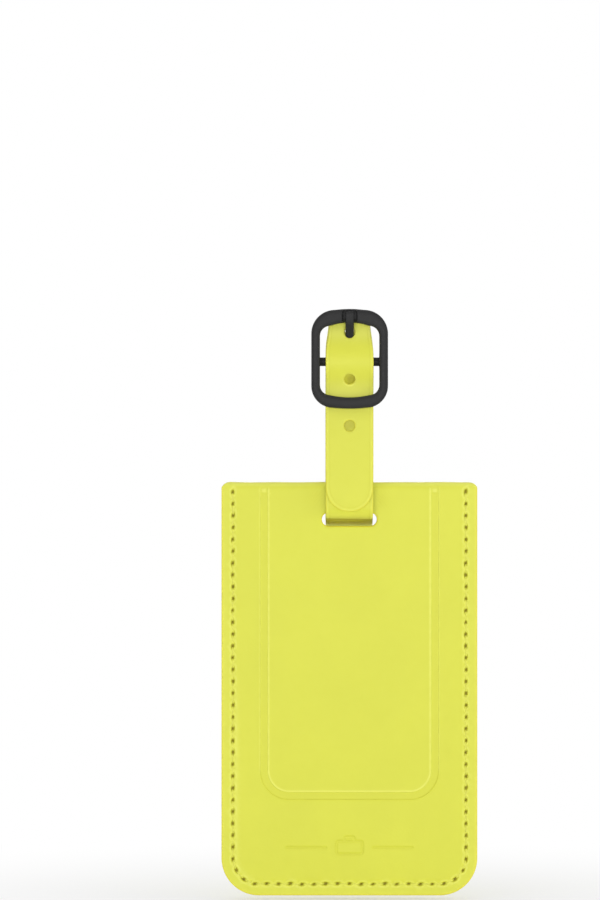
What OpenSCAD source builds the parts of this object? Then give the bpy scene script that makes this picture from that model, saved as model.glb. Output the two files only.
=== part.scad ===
// Rectangular luggage tag: a stitched window pocket with a privacy flap, carried by
// a two-layer strap that closes on a small centre-bar buckle.
// Millimetres. +Z up, +X to the wearer's right, the front cover faces -Y.
// Origin: centre of the strap slot, at half the thickness of the tag.

/* [Tag body] */
// Width of the tag
tag_w = 65; // [62:1:70]
// Height of the tag, top fold to bottom edge
tag_h = 105; // [102:1:112]
// Radius of the two bottom corners
corner_r = 9.5; // [7:0.5:12]
// Distance from the top fold to the middle of the strap slot
slot_drop = 9.5; // [9:0.5:11]
// Length of the strap slot
slot_l = 14; // [13.5:0.5:16]
// Height of the strap slot
slot_h = 3.4; // [3.2:0.2:4]
// Outer radius of the folded top edge
fold_r = 1.6; // [1:0.1:2]

/* [Layers] */
// Thickness of the front cover
cover_t = 0.9; // [0.8:0.1:1]
// Thickness of the foam under the front cover
foam_t = 0.5; // [0.4:0.1:0.5]
// Thickness of the stiffener board
board_t = 0.4; // [0.3:0.1:0.4]
// Thickness of the pocket lining
lining_t = 0.25; // [0.2:0.05:0.25]
// Thickness of the back panel that frames the window
panel_t = 0.75; // [0.6:0.05:0.75]
// Thickness of the clear window sheet
window_t = 0.2; // [0.1:0.05:0.2]
// Thickness of the address card
card_t = 0.3; // [0.2:0.05:0.3]
// Thickness of the privacy flap's outer layer
flap_t = 0.8; // [0.7:0.1:0.8]
// Thickness of the privacy flap's lining
flap_lining_t = 0.4; // [0.3:0.1:0.4]

/* [Window pocket] */
// Width of the window opening
window_w = 46; // [42:1:47]
// Height of the window opening
window_h = 72; // [66:1:74]
// Width of the address card
card_w = 54; // [50:1:54]
// Height of the address card
card_h = 85; // [80:1:85]

/* [Seams and pressed lines] */
// Distance of the seam from the edge
seam_inset = 2.9; // [2.5:0.1:3.5]
// Length of one stitch
stitch_l = 3; // [2.5:0.1:3.5]
// Diameter of the sewing thread
thread_d = 0.5; // [0.4:0.05:0.5]
// Distance of the pressed U line from the side edge
channel_in = 9.9; // [9:0.1:11]
// Width of the pressed U line
channel_w = 1.8; // [1.2:0.1:2.2]
// Depth of the pressed U line
channel_d = 0.2; // [0.1:0.05:0.3]
// Height of the pressed U line's foot above the bottom edge
channel_foot = 24.4; // [22:0.2:30]

/* [Strap] */
// Width of the strap
strap_w = 12.1; // [11:0.1:12.4]
// Thickness of one of its two layers
strap_layer = 0.6; // [0.5:0.05:0.65]
// Diameter of the adjustment holes
hole_d = 2.75; // [2.5:0.05:3]
// Height of the free end's tip above the origin
tip_z = 2; // [1:0.5:6]

/* [Buckle] */
// Outer width of the buckle frame
buckle_w = 19.4; // [19:0.1:21]
// Height of the buckle frame's lower edge above the origin
buckle_z0 = 28.1; // [28:0.1:28.4]
// Height of the buckle frame's upper edge above the origin
buckle_z1 = 53.3; // [53:0.1:54]
// Width of the opening inside the frame
buckle_in_w = 15; // [14.6:0.1:15.2]
// Thickness of the frame
buckle_t = 2.4; // [2.2:0.1:2.4]
// Diameter of the centre bar
bar_d = 2.2; // [2:0.05:2.2]
// Width of the prong
prong_w = 2.1; // [1.6:0.1:2.2]

/* [Hidden] */
$fn = 48;

lime = [0.86, 0.88, 0.33];
lime_dark = [0.72, 0.74, 0.25];
charcoal = [0.2, 0.2, 0.2];

// heights on the tag
top_z = slot_drop;
bottom_z = slot_drop - tag_h;
inner_top = 8.4;     // top of the layers inside the fold
filler_top = inner_top - 0.2;
hinge_z = -3.5;      // where the folded cover ends and the flap begins

// front faces of the layers, front to back
y_front = -2.4;
y_foam = y_front + cover_t;
y_board = y_foam + foam_t;
y_lining = y_board + board_t;
y_pocket = y_lining + lining_t;
y_card = -0.25;
y_panel = 0.35;
y_window = y_panel - window_t;
y_panel_back = y_panel + panel_t;
y_back = -y_front;   // back face of the tag
y_flap = y_back - flap_t;
y_flap_lining = y_flap - flap_lining_t;

// ---------- lists and curves ----------
function skip_first(list) = [for (i = [1:len(list) - 1]) list[i]];
function reverse(list) = [for (i = [len(list) - 1:-1:0]) list[i]];
// n values after start, evenly spaced up to end
function steps(start, end, n) = [for (i = [1:n]) start + (end - start)*i/n];
function arc(centre, radius, start, end, n) =
    [for (i = [0:n]) let (angle = start + (end - start)*i/n)
        [centre[0] + radius*cos(angle), centre[1] + radius*sin(angle)]];
// cubic Bezier curve with two pull points
function bezier(start, pull_1, pull_2, end, n) =
    [for (i = [0:n]) let (done = i/n, left = 1 - done)
        left*left*left*start + 3*left*left*done*pull_1
        + 3*left*done*done*pull_2 + done*done*done*end];

// unit vector to the right of a path at its point i
function side_at(path, i) =
    let (step = path[min(i + 1, len(path) - 1)] - path[max(i - 1, 0)], heading = step/norm(step))
    [heading[1], -heading[0]];
function shifted(path, distance) =
    [for (i = [0:len(path) - 1]) path[i] + distance*side_at(path, i)];
// band along a path, between two distances to its right (negative: to its left)
function band(path, near, far) = concat(shifted(path, near), reverse(shifted(path, far)));

// outline with two rounded bottom corners
function panel_pts(half_w, low, high, radius) = concat(
    [[-half_w, high]],
    arc([-half_w + radius, low + radius], radius, 180, 270, 14),
    arc([half_w - radius, low + radius], radius, 270, 360, 14),
    [[half_w, high]]);
// the same, set in from the sides and the bottom of the tag
function tag_pts(inset, high, radius) =
    panel_pts(tag_w/2 - inset, bottom_z + inset, high, radius);
// outline with four rounded corners
function round_pts(half_w, low, high, radius) = concat(
    arc([-half_w + radius, low + radius], radius, 180, 270, 8),
    arc([half_w - radius, low + radius], radius, 270, 360, 8),
    arc([half_w - radius, high - radius], radius, 0, 90, 8),
    arc([-half_w + radius, high - radius], radius, 90, 180, 8));

// ---------- shared solids ----------
// extrude an outline given in (x, z) between two y values
module plate(front, back) {
    translate([0, back, 0]) rotate([90, 0, 0]) linear_extrude(back - front) children();
}
// extrude an outline given in (y, z) along x, centred
module along_x(width) {
    rotate([90, 0, 90]) translate([0, 0, -width/2]) linear_extrude(width) children();
}
// centred cylinders along x and along y
module rod_x(diameter, length) {
    rotate([0, 90, 0]) cylinder(d = diameter, h = length, center = true);
}
module rod_y(diameter, length) {
    rotate([90, 0, 0]) cylinder(d = diameter, h = length, center = true);
}
// the strap slot with its round ends, larger by margin, cut along y
module slot_cut(margin = 0) {
    length = slot_l + margin;
    height = slot_h + margin;
    depth = 12;
    for (side = [-1, 1]) translate([side*(length - height)/2, 0, 0]) rod_y(height, depth);
    cube([length - height, depth, height], center = true);
}

// ---------- stitches ----------
stitch_gap = 0.75;
fine_thread_d = thread_d - 0.1;

module stitch(diameter, length = stitch_l - stitch_gap) { rod_x(diameter, length, $fn = 16); }

// [x, z, heading] at a distance along a U seam that starts at the top left
function seam_pt(distance, half_w, low, high, radius) =
    let (side = high - low - radius, turn = PI*radius/2, foot = 2*(half_w - radius),
         turn_2 = side + turn + foot, side_2 = turn_2 + turn)
    distance < side ? [-half_w, high - distance, -90] :
    distance < side + turn ?
        let (angle = (distance - side)/turn*90)
        [-half_w + radius - radius*cos(angle), low + radius - radius*sin(angle), -90 + angle] :
    distance < turn_2 ? [-half_w + radius + (distance - side - turn), low, 0] :
    distance < side_2 ?
        let (angle = (distance - turn_2)/turn*90)
        [half_w - radius + radius*sin(angle), low + radius - radius*cos(angle), angle] :
    [half_w, low + radius + (distance - side_2), 90];
module u_seam(half_w, low, high, radius, y, diameter) {
    length = 2*(high - low - radius) + PI*radius + 2*(half_w - radius);
    count = round(length/stitch_l);
    for (i = [0:count - 1]) {
        place = seam_pt((i + 0.5)*length/count, half_w, low, high, radius);
        translate([place[0], y, place[1]]) rotate([0, -place[2], 0]) stitch(diameter);
    }
}

// ---------- front cover ----------
rim_w = 5;           // rim behind the cover that carries the seam

// (y, z) section: front sheet, top fold and the back part down to the hinge
module cover_profile() {
    inner_r = 0.3;
    inner_z = top_z - cover_t - inner_r;
    polygon(concat(
        [[y_front, bottom_z], [y_foam, bottom_z]],
        arc([y_foam + inner_r, inner_z], inner_r, 180, 90, 6),
        arc([y_flap - inner_r, inner_z], inner_r, 90, 0, 6),
        [[y_flap, hinge_z], [y_back, hinge_z]],
        arc([y_back - fold_r, top_z - fold_r], fold_r, 0, 90, 12),
        arc([y_front + fold_r, top_z - fold_r], fold_r, 90, 180, 12)));
}

module pressed_u() {
    half_w = tag_w/2 - channel_in;
    low = bottom_z + channel_foot;
    high = top_z - 1.1;
    outer_r = 7.3;
    inner_r = 5.4;
    plate(y_front - 1, y_front + channel_d) difference() {
        polygon(panel_pts(half_w, low, high, outer_r));
        polygon(panel_pts(half_w - channel_w, low + channel_w, high + 1, inner_r));
    }
}

// plain suitcase sign between two short bars
module pressed_sign() {
    sign_z = -82.8;
    depth = 0.15;
    line_w = 0.6;
    case_half_w = 3.6;
    case_low = sign_z - 2.45;
    case_high = sign_z + 1.35;
    handle_w = 3;
    bar_l = 10.5;
    bar_x = 11;
    plate(y_front - 1, y_front + depth) {
        difference() {
            polygon(round_pts(case_half_w, case_low, case_high, 0.6));
            polygon(round_pts(case_half_w - line_w, case_low + line_w, case_high - line_w, 0.3));
        }
        difference() {
            translate([-handle_w/2, sign_z + 1.3]) square([handle_w, 1.15]);
            translate([-handle_w/2 + line_w, sign_z + 1.2]) square([handle_w - 2*line_w, 0.65]);
        }
        for (side = [-1, 1])
            translate([side*bar_x - bar_l/2, sign_z - 0.85]) square([bar_l, line_w]);
    }
}

module front_cover() color(lime) difference() {
    union() {
        intersection() {
            along_x(tag_w) cover_profile();
            plate(-10, 10) polygon(tag_pts(0, top_z, corner_r));
        }
        // rim, sunk 0.1 into the cover
        plate(y_foam - 0.1, y_lining) difference() {
            polygon(tag_pts(0, inner_top, corner_r));
            polygon(tag_pts(rim_w, inner_top + 1, corner_r - rim_w + 1.5));
        }
    }
    slot_cut();
    pressed_u();
    pressed_sign();
}

// ---------- inner layers ----------
// sheet that lies inside the rim
module filler(front, thickness, inset) difference() {
    plate(front, front + thickness) polygon(tag_pts(inset, filler_top, corner_r - inset + 2));
    slot_cut(1);
}
module foam_interliner() color("ivory") filler(y_foam, foam_t, rim_w + 0.15);
module stiffener_board() color("tan") filler(y_board, board_t, rim_w + 0.3);

module pocket_lining() color("gainsboro") difference() {
    plate(y_lining, y_pocket) polygon(tag_pts(0.15, inner_top, corner_r));
    slot_cut(0.6);
}

module slot_reinforcement() color("wheat") difference() {
    plate(y_panel_back, y_flap) polygon(round_pts(31, hinge_z + 0.5, filler_top, 1));
    slot_cut(0.6);
}

// ---------- window pocket ----------
window_low = -86;
window_high = window_low + window_h;
card_top = -7.3;

module through_panel() { plate(-1, 3) children(); }

module window_panel() color(lime) difference() {
    union() {
        plate(y_panel, y_panel_back) polygon(tag_pts(0, inner_top, corner_r));
        // border round the card's space, sunk 0.1 into the panel
        plate(y_pocket, y_panel + 0.1) difference() {
            polygon(tag_pts(0, inner_top, corner_r));
            polygon(panel_pts(28.6, bottom_z + 2.8, inner_top + 1, 2));
        }
    }
    // window
    through_panel() polygon(round_pts(window_w/2, window_low, window_high, 4));
    // card slit and its thumb cut
    through_panel() polygon(round_pts(28, -7.2, -5.8, 0.6));
    translate([0, 0, -7]) rod_y(7.8, 8);
    slot_cut(0.3);
}

module clear_window() color([0.85, 0.92, 0.95, 0.4]) plate(y_window, y_panel)
    polygon(round_pts(window_w/2 + 4.6, -90.2, -12.6, 2));

module address_card() color("white") plate(y_card, y_card + card_t)
    polygon(round_pts(card_w/2, card_top - card_h, card_top, 2));

// ---------- tag seams ----------
module edge_seam(y, diameter) {
    u_seam(tag_w/2 - seam_inset, bottom_z + seam_inset, 7, corner_r - seam_inset, y, diameter);
}
module seam_needle_thread() color(lime) edge_seam(y_front + 0.15, thread_d);
module seam_bobbin_thread() color(lime) edge_seam(y_panel_back - thread_d/2, fine_thread_d);

// U seam round the window, closed by a row across the top
module window_stitching() color(lime_dark) {
    margin = 2;
    half_w = window_w/2 + margin;
    high = window_high + margin;
    y = y_panel_back - 0.15;
    u_seam(half_w, window_low - margin, high, 3, y, fine_thread_d);
    count = round(2*half_w/stitch_l);
    for (i = [1:count - 2])
        translate([-half_w + (i + 0.5)*2*half_w/count, y, high]) stitch(fine_thread_d);
}

// ---------- flap ----------
flap_half_w = tag_w/2 - 0.5;
flap_low = bottom_z + 0.6;
flap_r = corner_r - 0.5;

module flap_sheet(front, back) {
    plate(front, back) polygon(panel_pts(flap_half_w, flap_low, hinge_z - 0.05, flap_r));
}
module privacy_flap() color(lime) flap_sheet(y_flap, y_back);
module flap_lining() color(lime_dark) flap_sheet(y_flap_lining, y_flap);
module flap_stitching() color(lime)
    u_seam(flap_half_w - seam_inset, flap_low + seam_inset, hinge_z - 3, flap_r - seam_inset,
           y_back - thread_d/2, thread_d);

// ---------- strap and buckle places ----------
strap_t = 2*strap_layer;
strap_gap = 0.05;                // between passes of the strap, and round the bar
pass_pitch = strap_t + strap_gap;
leg_y = -4.75;                   // fixed leg, in front of the tag
tail_y = leg_y - pass_pitch;     // free end, in front of the leg
frame_y = tail_y - strap_layer - 0.3 - buckle_t/2;
bar_y = frame_y + 2.6;
bar_z = 40;
wrap_r = bar_d/2 + strap_gap + strap_layer;
tab_y = leg_y + strap_t + 0.1;   // sewn end, behind the leg
tail_top = 27;                   // where the loop ends and the flat tail begins

// the strap slants down through the slot
pass_z = 0.78;
pass_tilt = 18;
bend_r = 2.0;
bend_z = pass_z + (y_front - leg_y - bend_r*(1 - sin(pass_tilt)))*tan(pass_tilt)
         + bend_r*cos(pass_tilt);
rear_y = 3;
rear_start = [rear_y, pass_z + (y_front - rear_y)*tan(pass_tilt)];

// the free end arches forward over the centre bar
arch_low = 30.4;
arch_top = 50.5;
arch_rise = tail_y - (bar_y - wrap_r - pass_pitch);
function arch_span(z) = (z > bar_z ? arch_top : arch_low) - bar_z;
function arch_phase(z) = 180*(z - bar_z)/arch_span(z);
// y of the arch's centre line and its slope at height z
function arch_y(z) = tail_y - arch_rise/2*(1 + cos(arch_phase(z)));
function arch_slope(z) = arch_rise/2*sin(arch_phase(z))*PI/arch_span(z);
// the fixed leg lies behind the arch, one pass away
function leg_pt(z) =
    let (slope = arch_slope(z), shift = pass_pitch/sqrt(1 + slope*slope))
    [arch_y(z) + shift, z - shift*slope];

// the rear run turns over the top into the free end
turn_r = 2.0;
turn_y = tail_y + turn_r;

// centre line in (y, z), from the sewn end to the top of the tail
strap_path = concat(
    // sewn end, up to the bar and over it
    [[tab_y, 28], [tab_y, 30]],
    bezier([tab_y, 32.5], [tab_y, 36.2], [bar_y + wrap_r, 37.3], [bar_y + wrap_r, bar_z], 10),
    skip_first(arc([bar_y, bar_z], wrap_r, 0, 180, 18)),
    // fixed leg, down to the slot
    [for (z = steps(bar_z, arch_low, 14)) leg_pt(z)],
    [[leg_y, 24], [leg_y, 12]],
    arc([leg_y + bend_r, bend_z], bend_r, 180, 270 - pass_tilt, 9),
    // through the slot and up behind the tag
    bezier(rear_start, rear_start + [1.6, -1.6*tan(pass_tilt)], [6.9, -1.95], [6.6, 4.6], 14),
    skip_first(bezier([6.6, 4.6], [6.35, 10], [6.7, 16], [6.7, 23], 8)),
    skip_first(bezier([6.7, 23], [6.7, 33], [turn_y + turn_r, 40],
                      [turn_y + turn_r, arch_top], 14)),
    // over the top and down the arch
    skip_first(arc([turn_y, arch_top], turn_r, 0, 180, 18)),
    [for (z = concat(steps(arch_top, bar_z, 14), steps(bar_z, arch_low, 14))) [arch_y(z), z]],
    [[tail_y, 29.5], [tail_y, tail_top]]);

// the prong's centre line in (y, z), from the bar through the free end to the frame
prong_tip_y = frame_y - 1.1;
prong_knee = [frame_y - 0.5, bar_z + 9.2];
prong_path = concat(
    bezier([bar_y - 0.6, bar_z + 1.3], [bar_y - 0.4, bar_z + 5.6],
           [bar_y - 1.7, bar_z + 7.6], prong_knee, 10),
    skip_first(bezier(prong_knee, [frame_y - 0.9, bar_z + 9.65],
                      [prong_tip_y, bar_z + 10.1], [prong_tip_y, bar_z + 10.9], 6)),
    [[prong_tip_y, buckle_z1 - 0.6]]);

module at_bar() { translate([0, bar_y, bar_z]) children(); }

// ---------- strap ----------
// further holes on the rear run: y, z, tilt
rear_holes = [[-1.89, 48.44, 6.1], [2.35, 36.56, 26.8]];

// hole through the free end only, square to it; stretch lengthens it along the strap
module punch(z, diameter, stretch = 0) {
    depth = 2.4;
    back = strap_layer + strap_gap/2;
    translate([0, arch_y(z), z]) rotate([-atan(arch_slope(z)), 0, 0]) {
        for (side = [-1, 1])
            translate([0, 0, side*stretch/2]) rotate([90, 0, 0]) translate([0, 0, -back])
                cylinder(d = diameter, h = depth);
        if (stretch > 0)
            translate([-diameter/2, back - depth, -stretch/2]) cube([diameter, depth, stretch]);
    }
}

module strap_holes() {
    fold_cut_w = 2.9;
    punch(35.6, hole_d);
    punch(47.4, 2.8, 0.2);
    // room round the prong
    along_x(2.45) polygon(band(prong_path, -1.0, 0.65));
    for (hole = rear_holes)
        translate([0, hole[0], hole[1]]) rotate([hole[2], 0, 0]) rod_y(hole_d, 3);
    // opening in the fold for the prong
    at_bar() rod_x(2*(wrap_r + strap_layer + strap_gap/2), fold_cut_w);
    translate([-fold_cut_w/2, bar_y - 0.2, bar_z - 2.6]) cube([fold_cut_w, 4.2, 3.4]);
}

module strap_ply(near, far) difference() {
    along_x(strap_w) polygon(band(strap_path, near, far));
    strap_holes();
}
module strap_face() color(lime) strap_ply(0, strap_layer);
module strap_backing() color(lime_dark) strap_ply(-strap_layer, 0);

module strap_end_stitching() color(lime)
    for (i = [-1.5:1:1.5]) translate([i*2.5, tab_y + strap_layer - 0.2, 29.6]) stitch(0.4, 1.9);

// flat free end with a round tip and one hole
module tail_layer(front, back) difference() {
    tip_centre = tip_z + strap_w/2;
    plate(front, back) union() {
        translate([-strap_w/2, tip_centre]) square([strap_w, tail_top - tip_centre]);
        translate([0, tip_centre]) circle(d = strap_w, $fn = 72);
    }
    translate([0, tail_y, 23.8]) rod_y(hole_d, 4);
}
module strap_tail_face() color(lime) tail_layer(tail_y - strap_layer, tail_y);
module strap_tail_backing() color(lime_dark) tail_layer(tail_y, tail_y + strap_layer);

// ---------- buckle ----------
// rounded outline whose lower and upper edges bow outwards
function bowed_pts(half_w, low, high, low_r, high_r, low_bow, high_bow) =
    let (high_at = function (x) high - high_bow*x*x/half_w/half_w,
         low_at = function (x) low + low_bow*x*x/half_w/half_w,
         low_x = half_w - low_r,
         high_x = half_w - high_r,
         low_z = low_at(low_x) + low_r,
         high_z = high_at(high_x) - high_r)
    concat([for (i = [-5:5]) let (x = i/5*low_x) [x, low_at(x)]],
           skip_first(arc([low_x, low_z], low_r, 270, 360, 10)),
           arc([high_x, high_z], high_r, 0, 90, 10),
           [for (i = [4:-1:-4]) let (x = i/5*high_x) [x, high_at(x)]],
           arc([-high_x, high_z], high_r, 90, 180, 10),
           // stops one step short of the first point
           arc([-low_x, low_z], low_r, 180, 261, 9));

module bar_rod() { at_bar() rod_x(bar_d, buckle_in_w + 2.6); }

module buckle_frame() color(charcoal) difference() {
    ear_w = 1.9;
    ear_r = 1.8;
    union() {
        plate(frame_y - buckle_t/2, frame_y + buckle_t/2) difference() {
            polygon(bowed_pts(buckle_w/2, buckle_z0, buckle_z1, 5.5, 6, 1.2, 1.6));
            polygon(bowed_pts(buckle_in_w/2, buckle_z0 + 2.85, buckle_z1 - 3.4,
                              2.6, 2.6, 1.3, 2));
        }
        // ears that hold the centre bar behind the side bars
        for (side = [-1, 1]) translate([side*(buckle_in_w + ear_w)/2, 0, bar_z]) {
            translate([0, bar_y, 0]) rod_x(2*ear_r, ear_w);
            translate([-ear_w/2, frame_y + 1, -ear_r])
                cube([ear_w, bar_y - frame_y - 1, 2*ear_r]);
        }
    }
    // rest for the prong's tip
    along_x(3.6) polygon(band(concat(prong_path, [[prong_tip_y, buckle_z1 - 0.3]]), -3, 0.75));
    // sockets of the centre bar
    bar_rod();
}

module buckle_bar() color(charcoal) bar_rod();

module buckle_prong() color(charcoal) difference() {
    union() {
        at_bar() rod_x(4, prong_w);
        along_x(prong_w) polygon(band(prong_path, -0.5, 0.5));
    }
    at_bar() rod_x(bar_d + 0.1, 9);
}

front_cover();
foam_interliner();
stiffener_board();
pocket_lining();
slot_reinforcement();
window_panel();
clear_window();
address_card();
seam_needle_thread();
seam_bobbin_thread();
window_stitching();
privacy_flap();
flap_lining();
flap_stitching();
strap_face();
strap_backing();
strap_end_stitching();
strap_tail_face();
strap_tail_backing();
buckle_frame();
buckle_bar();
buckle_prong();
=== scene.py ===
"""Rectangular luggage tag of sewn, pressed and edge-painted coated leather, with a buckled strap.

The tag stands upright in the XZ plane, its front towards -Y. The origin is the middle of the slot
near its top edge. The strap runs through the slot and up to the buckle above the tag.
All sizes are in millimetres unless noted; new_object() turns them into metres.
"""

import math
from collections import namedtuple

import bmesh
import bpy
import numpy as np
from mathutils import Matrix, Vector, geometry


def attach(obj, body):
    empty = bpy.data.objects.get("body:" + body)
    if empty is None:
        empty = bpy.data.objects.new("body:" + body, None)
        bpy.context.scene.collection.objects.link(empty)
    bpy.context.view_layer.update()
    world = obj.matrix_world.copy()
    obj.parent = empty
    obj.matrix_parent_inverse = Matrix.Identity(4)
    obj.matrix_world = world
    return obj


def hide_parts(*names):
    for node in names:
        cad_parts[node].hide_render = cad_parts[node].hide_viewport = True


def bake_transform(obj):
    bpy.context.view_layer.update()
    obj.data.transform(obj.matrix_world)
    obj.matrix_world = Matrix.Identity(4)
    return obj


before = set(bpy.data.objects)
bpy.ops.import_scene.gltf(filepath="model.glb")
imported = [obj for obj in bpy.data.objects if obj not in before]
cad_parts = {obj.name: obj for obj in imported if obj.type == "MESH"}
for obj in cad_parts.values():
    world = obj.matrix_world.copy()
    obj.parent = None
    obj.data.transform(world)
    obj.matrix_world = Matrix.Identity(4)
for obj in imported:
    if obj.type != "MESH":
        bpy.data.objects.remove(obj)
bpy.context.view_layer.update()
PI = math.pi
MM = 0.001

# A U-shaped line, open at the top, with rounded bottom corners
ULine = namedtuple("ULine", "half_width foot top radius")

# ---------------------------------------------------------------- driving dimensions
TOP_Z = 9.5
TAG_EDGE = ULine(32.5, -95.5, TOP_Z, 9.5)
FRONT_Y, BACK_Y = -2.4, 2.4
SEAM = ULine(29.6, -92.6, 7.0, 6.6)
WINDOW_SEAM = ULine(25.0, -88.0, -12.0, 3.0)
FLAP_SEAM = ULine(29.1, -92.0, -6.5, 6.1)
FLAP_EDGE = ULine(32.0, -94.9, -3.52, 9.0)
NEEDLE_PITCH = 3.0
SLOT_LENGTH, SLOT_HEIGHT = 14.0, 3.4
STRAP_HW = 6.05         # half width
STRAP_LAYER = 0.6       # thickness of each of the strap's two layers
BAR_Y, BAR_Z = -5.5, 40.0
FRAME_Y = -8.1          # middle of the buckle frame's depth


# ---------------------------------------------------------------- falloffs
def smooth(low, high, x):
    """0 below low, 1 above high, smooth in between."""
    part = np.clip((np.asarray(x, float) - low) / (high - low), 0, 1)
    return part * part * (3 - 2 * part)


def bump(x, reach):
    """A rounded bump, 1 at x = 0, 0 beyond reach."""
    return smooth(0, 1, 1 - np.abs(x) / reach)


def bell(x, width, power=2):
    """Bell curve; an even power above 2 gives it a flat top."""
    return np.exp(-((x / width) ** power))


def decay(distance, width):
    """Fades from 1 with growing distance."""
    return np.exp(-np.maximum(distance, 0) / width)


def wave(x, y, seed, scale):
    """Smooth repeatable noise in about -1..1, made of crossing waves."""
    draw = np.random.RandomState(seed)
    total = np.zeros(np.shape(x))
    for _ in range(6):
        angle = draw.uniform(0, 2 * PI)
        rate = draw.uniform(0.6, 1.5) / scale
        phase = draw.uniform(0, 2 * PI)
        total = total + np.sin(2 * PI * rate * (np.cos(angle) * x + np.sin(angle) * y) + phase)
    return total / 3.5


# ---------------------------------------------------------------- flat outlines
def arc(x, y, radius, start, end, count):
    """Points of an arc; start and end in degrees."""
    angle = np.radians(np.linspace(start, end, count + 1))
    return np.column_stack([x + radius * np.cos(angle), y + radius * np.sin(angle)])


def bezier(start, pull_start, pull_end, end, count):
    t = np.linspace(0, 1, count + 1)[:, None]
    a, b, c, d = (np.array(p, float) for p in (start, pull_start, pull_end, end))
    rest = 1 - t
    return rest**3 * a + 3 * rest * rest * t * b + 3 * rest * t * t * c + t**3 * d


def resample(line, step, closed=True):
    """Points along a polyline at an even step, keeping sharp corners."""
    line = np.asarray(line, float)
    if closed:
        line = np.vstack([line, line[:1]])
    points = []
    for start, end in zip(line[:-1], line[1:]):
        length = np.hypot(*(end - start))
        if length < 1e-9:
            continue
        count = max(1, int(math.ceil(length / step - 1e-6)))
        points += [start + (end - start) * i / count for i in range(count)]
    if not closed:
        points.append(line[-1])
    return np.array(points)


def relax(points):
    """A closed loop with each point drawn half way to its neighbours, three times."""
    for _ in range(3):
        points = points * 0.5 + (np.roll(points, 1, 0) + np.roll(points, -1, 0)) * 0.25
    return points


def bottom_corners(line, count):
    x, z, radius = line.half_width - line.radius, line.foot + line.radius, line.radius
    return np.vstack([arc(-x, z, radius, 180, 270, count), arc(x, z, radius, 270, 360, count)])


def panel_outline(line):
    """Counter-clockwise outline with two rounded bottom corners."""
    return np.vstack([[[-line.half_width, line.top]], bottom_corners(line, int(line.radius * 4)),
                      [[line.half_width, line.top]]])


def stadium(length, height, y=0.0):
    """Counter-clockwise slot with round ends, long in x."""
    radius = height / 2
    x = length / 2 - radius
    return np.vstack([arc(x, y, radius, -90, 90, 14), arc(-x, y, radius, 90, 270, 14)])


def upright_slot(length, width, y):
    """Slot with round ends, long in y."""
    return stadium(length, width)[:, ::-1] + np.array([0, y])


def circle(y, radius):
    return arc(0, y, radius, 0, 360, 40)[:-1]


def area(loop):
    x, y = loop.T
    return 0.5 * np.sum(x * np.roll(y, -1) - np.roll(x, -1) * y)


def unit(vectors):
    return vectors / np.maximum(np.linalg.norm(vectors, axis=1), 1e-9)[:, None]


def left_of(heading):
    return np.column_stack([-heading[:, 1], heading[:, 0]])


def ring_normals(loop):
    """Unit normals to the left of a loop's direction, and the stretch its corners need."""
    ahead = unit(np.roll(loop, -1, 0) - loop)
    normal_ahead = left_of(ahead)
    normal = unit(left_of(np.roll(ahead, 1, 0)) + normal_ahead)
    return normal, 1 / np.maximum(np.sum(normal * normal_ahead, axis=1), 0.55)


def inset(loop, distance):
    normal, stretch = ring_normals(loop)
    return loop + normal * (stretch * distance)[:, None]


def inside(loop, points):
    """Which points lie in a loop."""
    x, y = points.T
    hit = np.zeros(len(x), bool)
    for (x0, y0), (x1, y1) in zip(loop, np.roll(loop, -1, 0)):
        if y0 != y1:
            crosses = (y0 > y) != (y1 > y)
            hit ^= crosses & (x < (x1 - x0) * (y - y0) / (y1 - y0) + x0)
    return hit


def within(loops, points):
    """Which points lie in the first loop and outside the others."""
    hit = inside(loops[0], points)
    for hole in loops[1:]:
        hit &= ~inside(hole, points)
    return hit


def edge_distance(loop, x, y):
    """Distance of points to a loop."""
    best = np.full(len(x), 1e9)
    for (x0, y0), (x1, y1) in zip(loop, np.roll(loop, -1, 0)):
        dx, dy = x1 - x0, y1 - y0
        square = dx * dx + dy * dy
        if square < 1e-12:
            continue
        t = np.clip(((x - x0) * dx + (y - y0) * dy) / square, 0, 1)
        best = np.minimum(best, (x - x0 - t * dx) ** 2 + (y - y0 - t * dy) ** 2)
    return np.sqrt(best)


def quadrant_distance(x, y):
    """Signed distance to the corner region where x and y are both negative."""
    return np.hypot(np.maximum(x, 0), np.maximum(y, 0)) + np.minimum(np.maximum(x, y), 0)


def u_distance(x, z, line):
    """Signed distance to a U line: negative inside the U."""
    beside = np.abs(x) - (line.half_width - line.radius)
    return quadrant_distance(beside, (line.foot + line.radius) - z) - line.radius


def box_distance(x, z, x0, x1, z0, z1, radius):
    """Signed distance to a box shrunk by radius, less that radius is its rounded outline."""
    beside = np.abs(x - (x0 + x1) / 2) - ((x1 - x0) / 2 - radius)
    return quadrant_distance(beside, np.abs(z - (z0 + z1) / 2) - ((z1 - z0) / 2 - radius)) - radius


def grid(x0, x1, y0, y1, step):
    """Staggered grid points."""
    columns = max(2, int((x1 - x0) / step))
    rows = max(2, int((y1 - y0) / (step * 0.87)))
    xs, ys = np.linspace(x0, x1, columns + 1), np.linspace(y0, y1, rows + 1)
    x, y = np.meshgrid(xs, ys)
    x = x + (np.arange(rows + 1)[:, None] % 2) * (xs[1] - xs[0]) * 0.5
    return np.column_stack([x.ravel(), y.ravel()])


def offset_rows(line, offsets):
    """Rows of points beside a polyline."""
    normal = left_of(unit(np.gradient(line, axis=0)))
    return np.vstack([line + normal * offset for offset in offsets])


def run_lengths(line):
    """Length along a flat polyline at each of its points."""
    return np.concatenate([[0], np.cumsum(np.hypot(*np.diff(line, axis=0).T))])


# ---------------------------------------------------------------- seam lines
def seam_length(line):
    return (2 * (line.top - line.foot - line.radius) + PI * line.radius
            + 2 * (line.half_width - line.radius))


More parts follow.
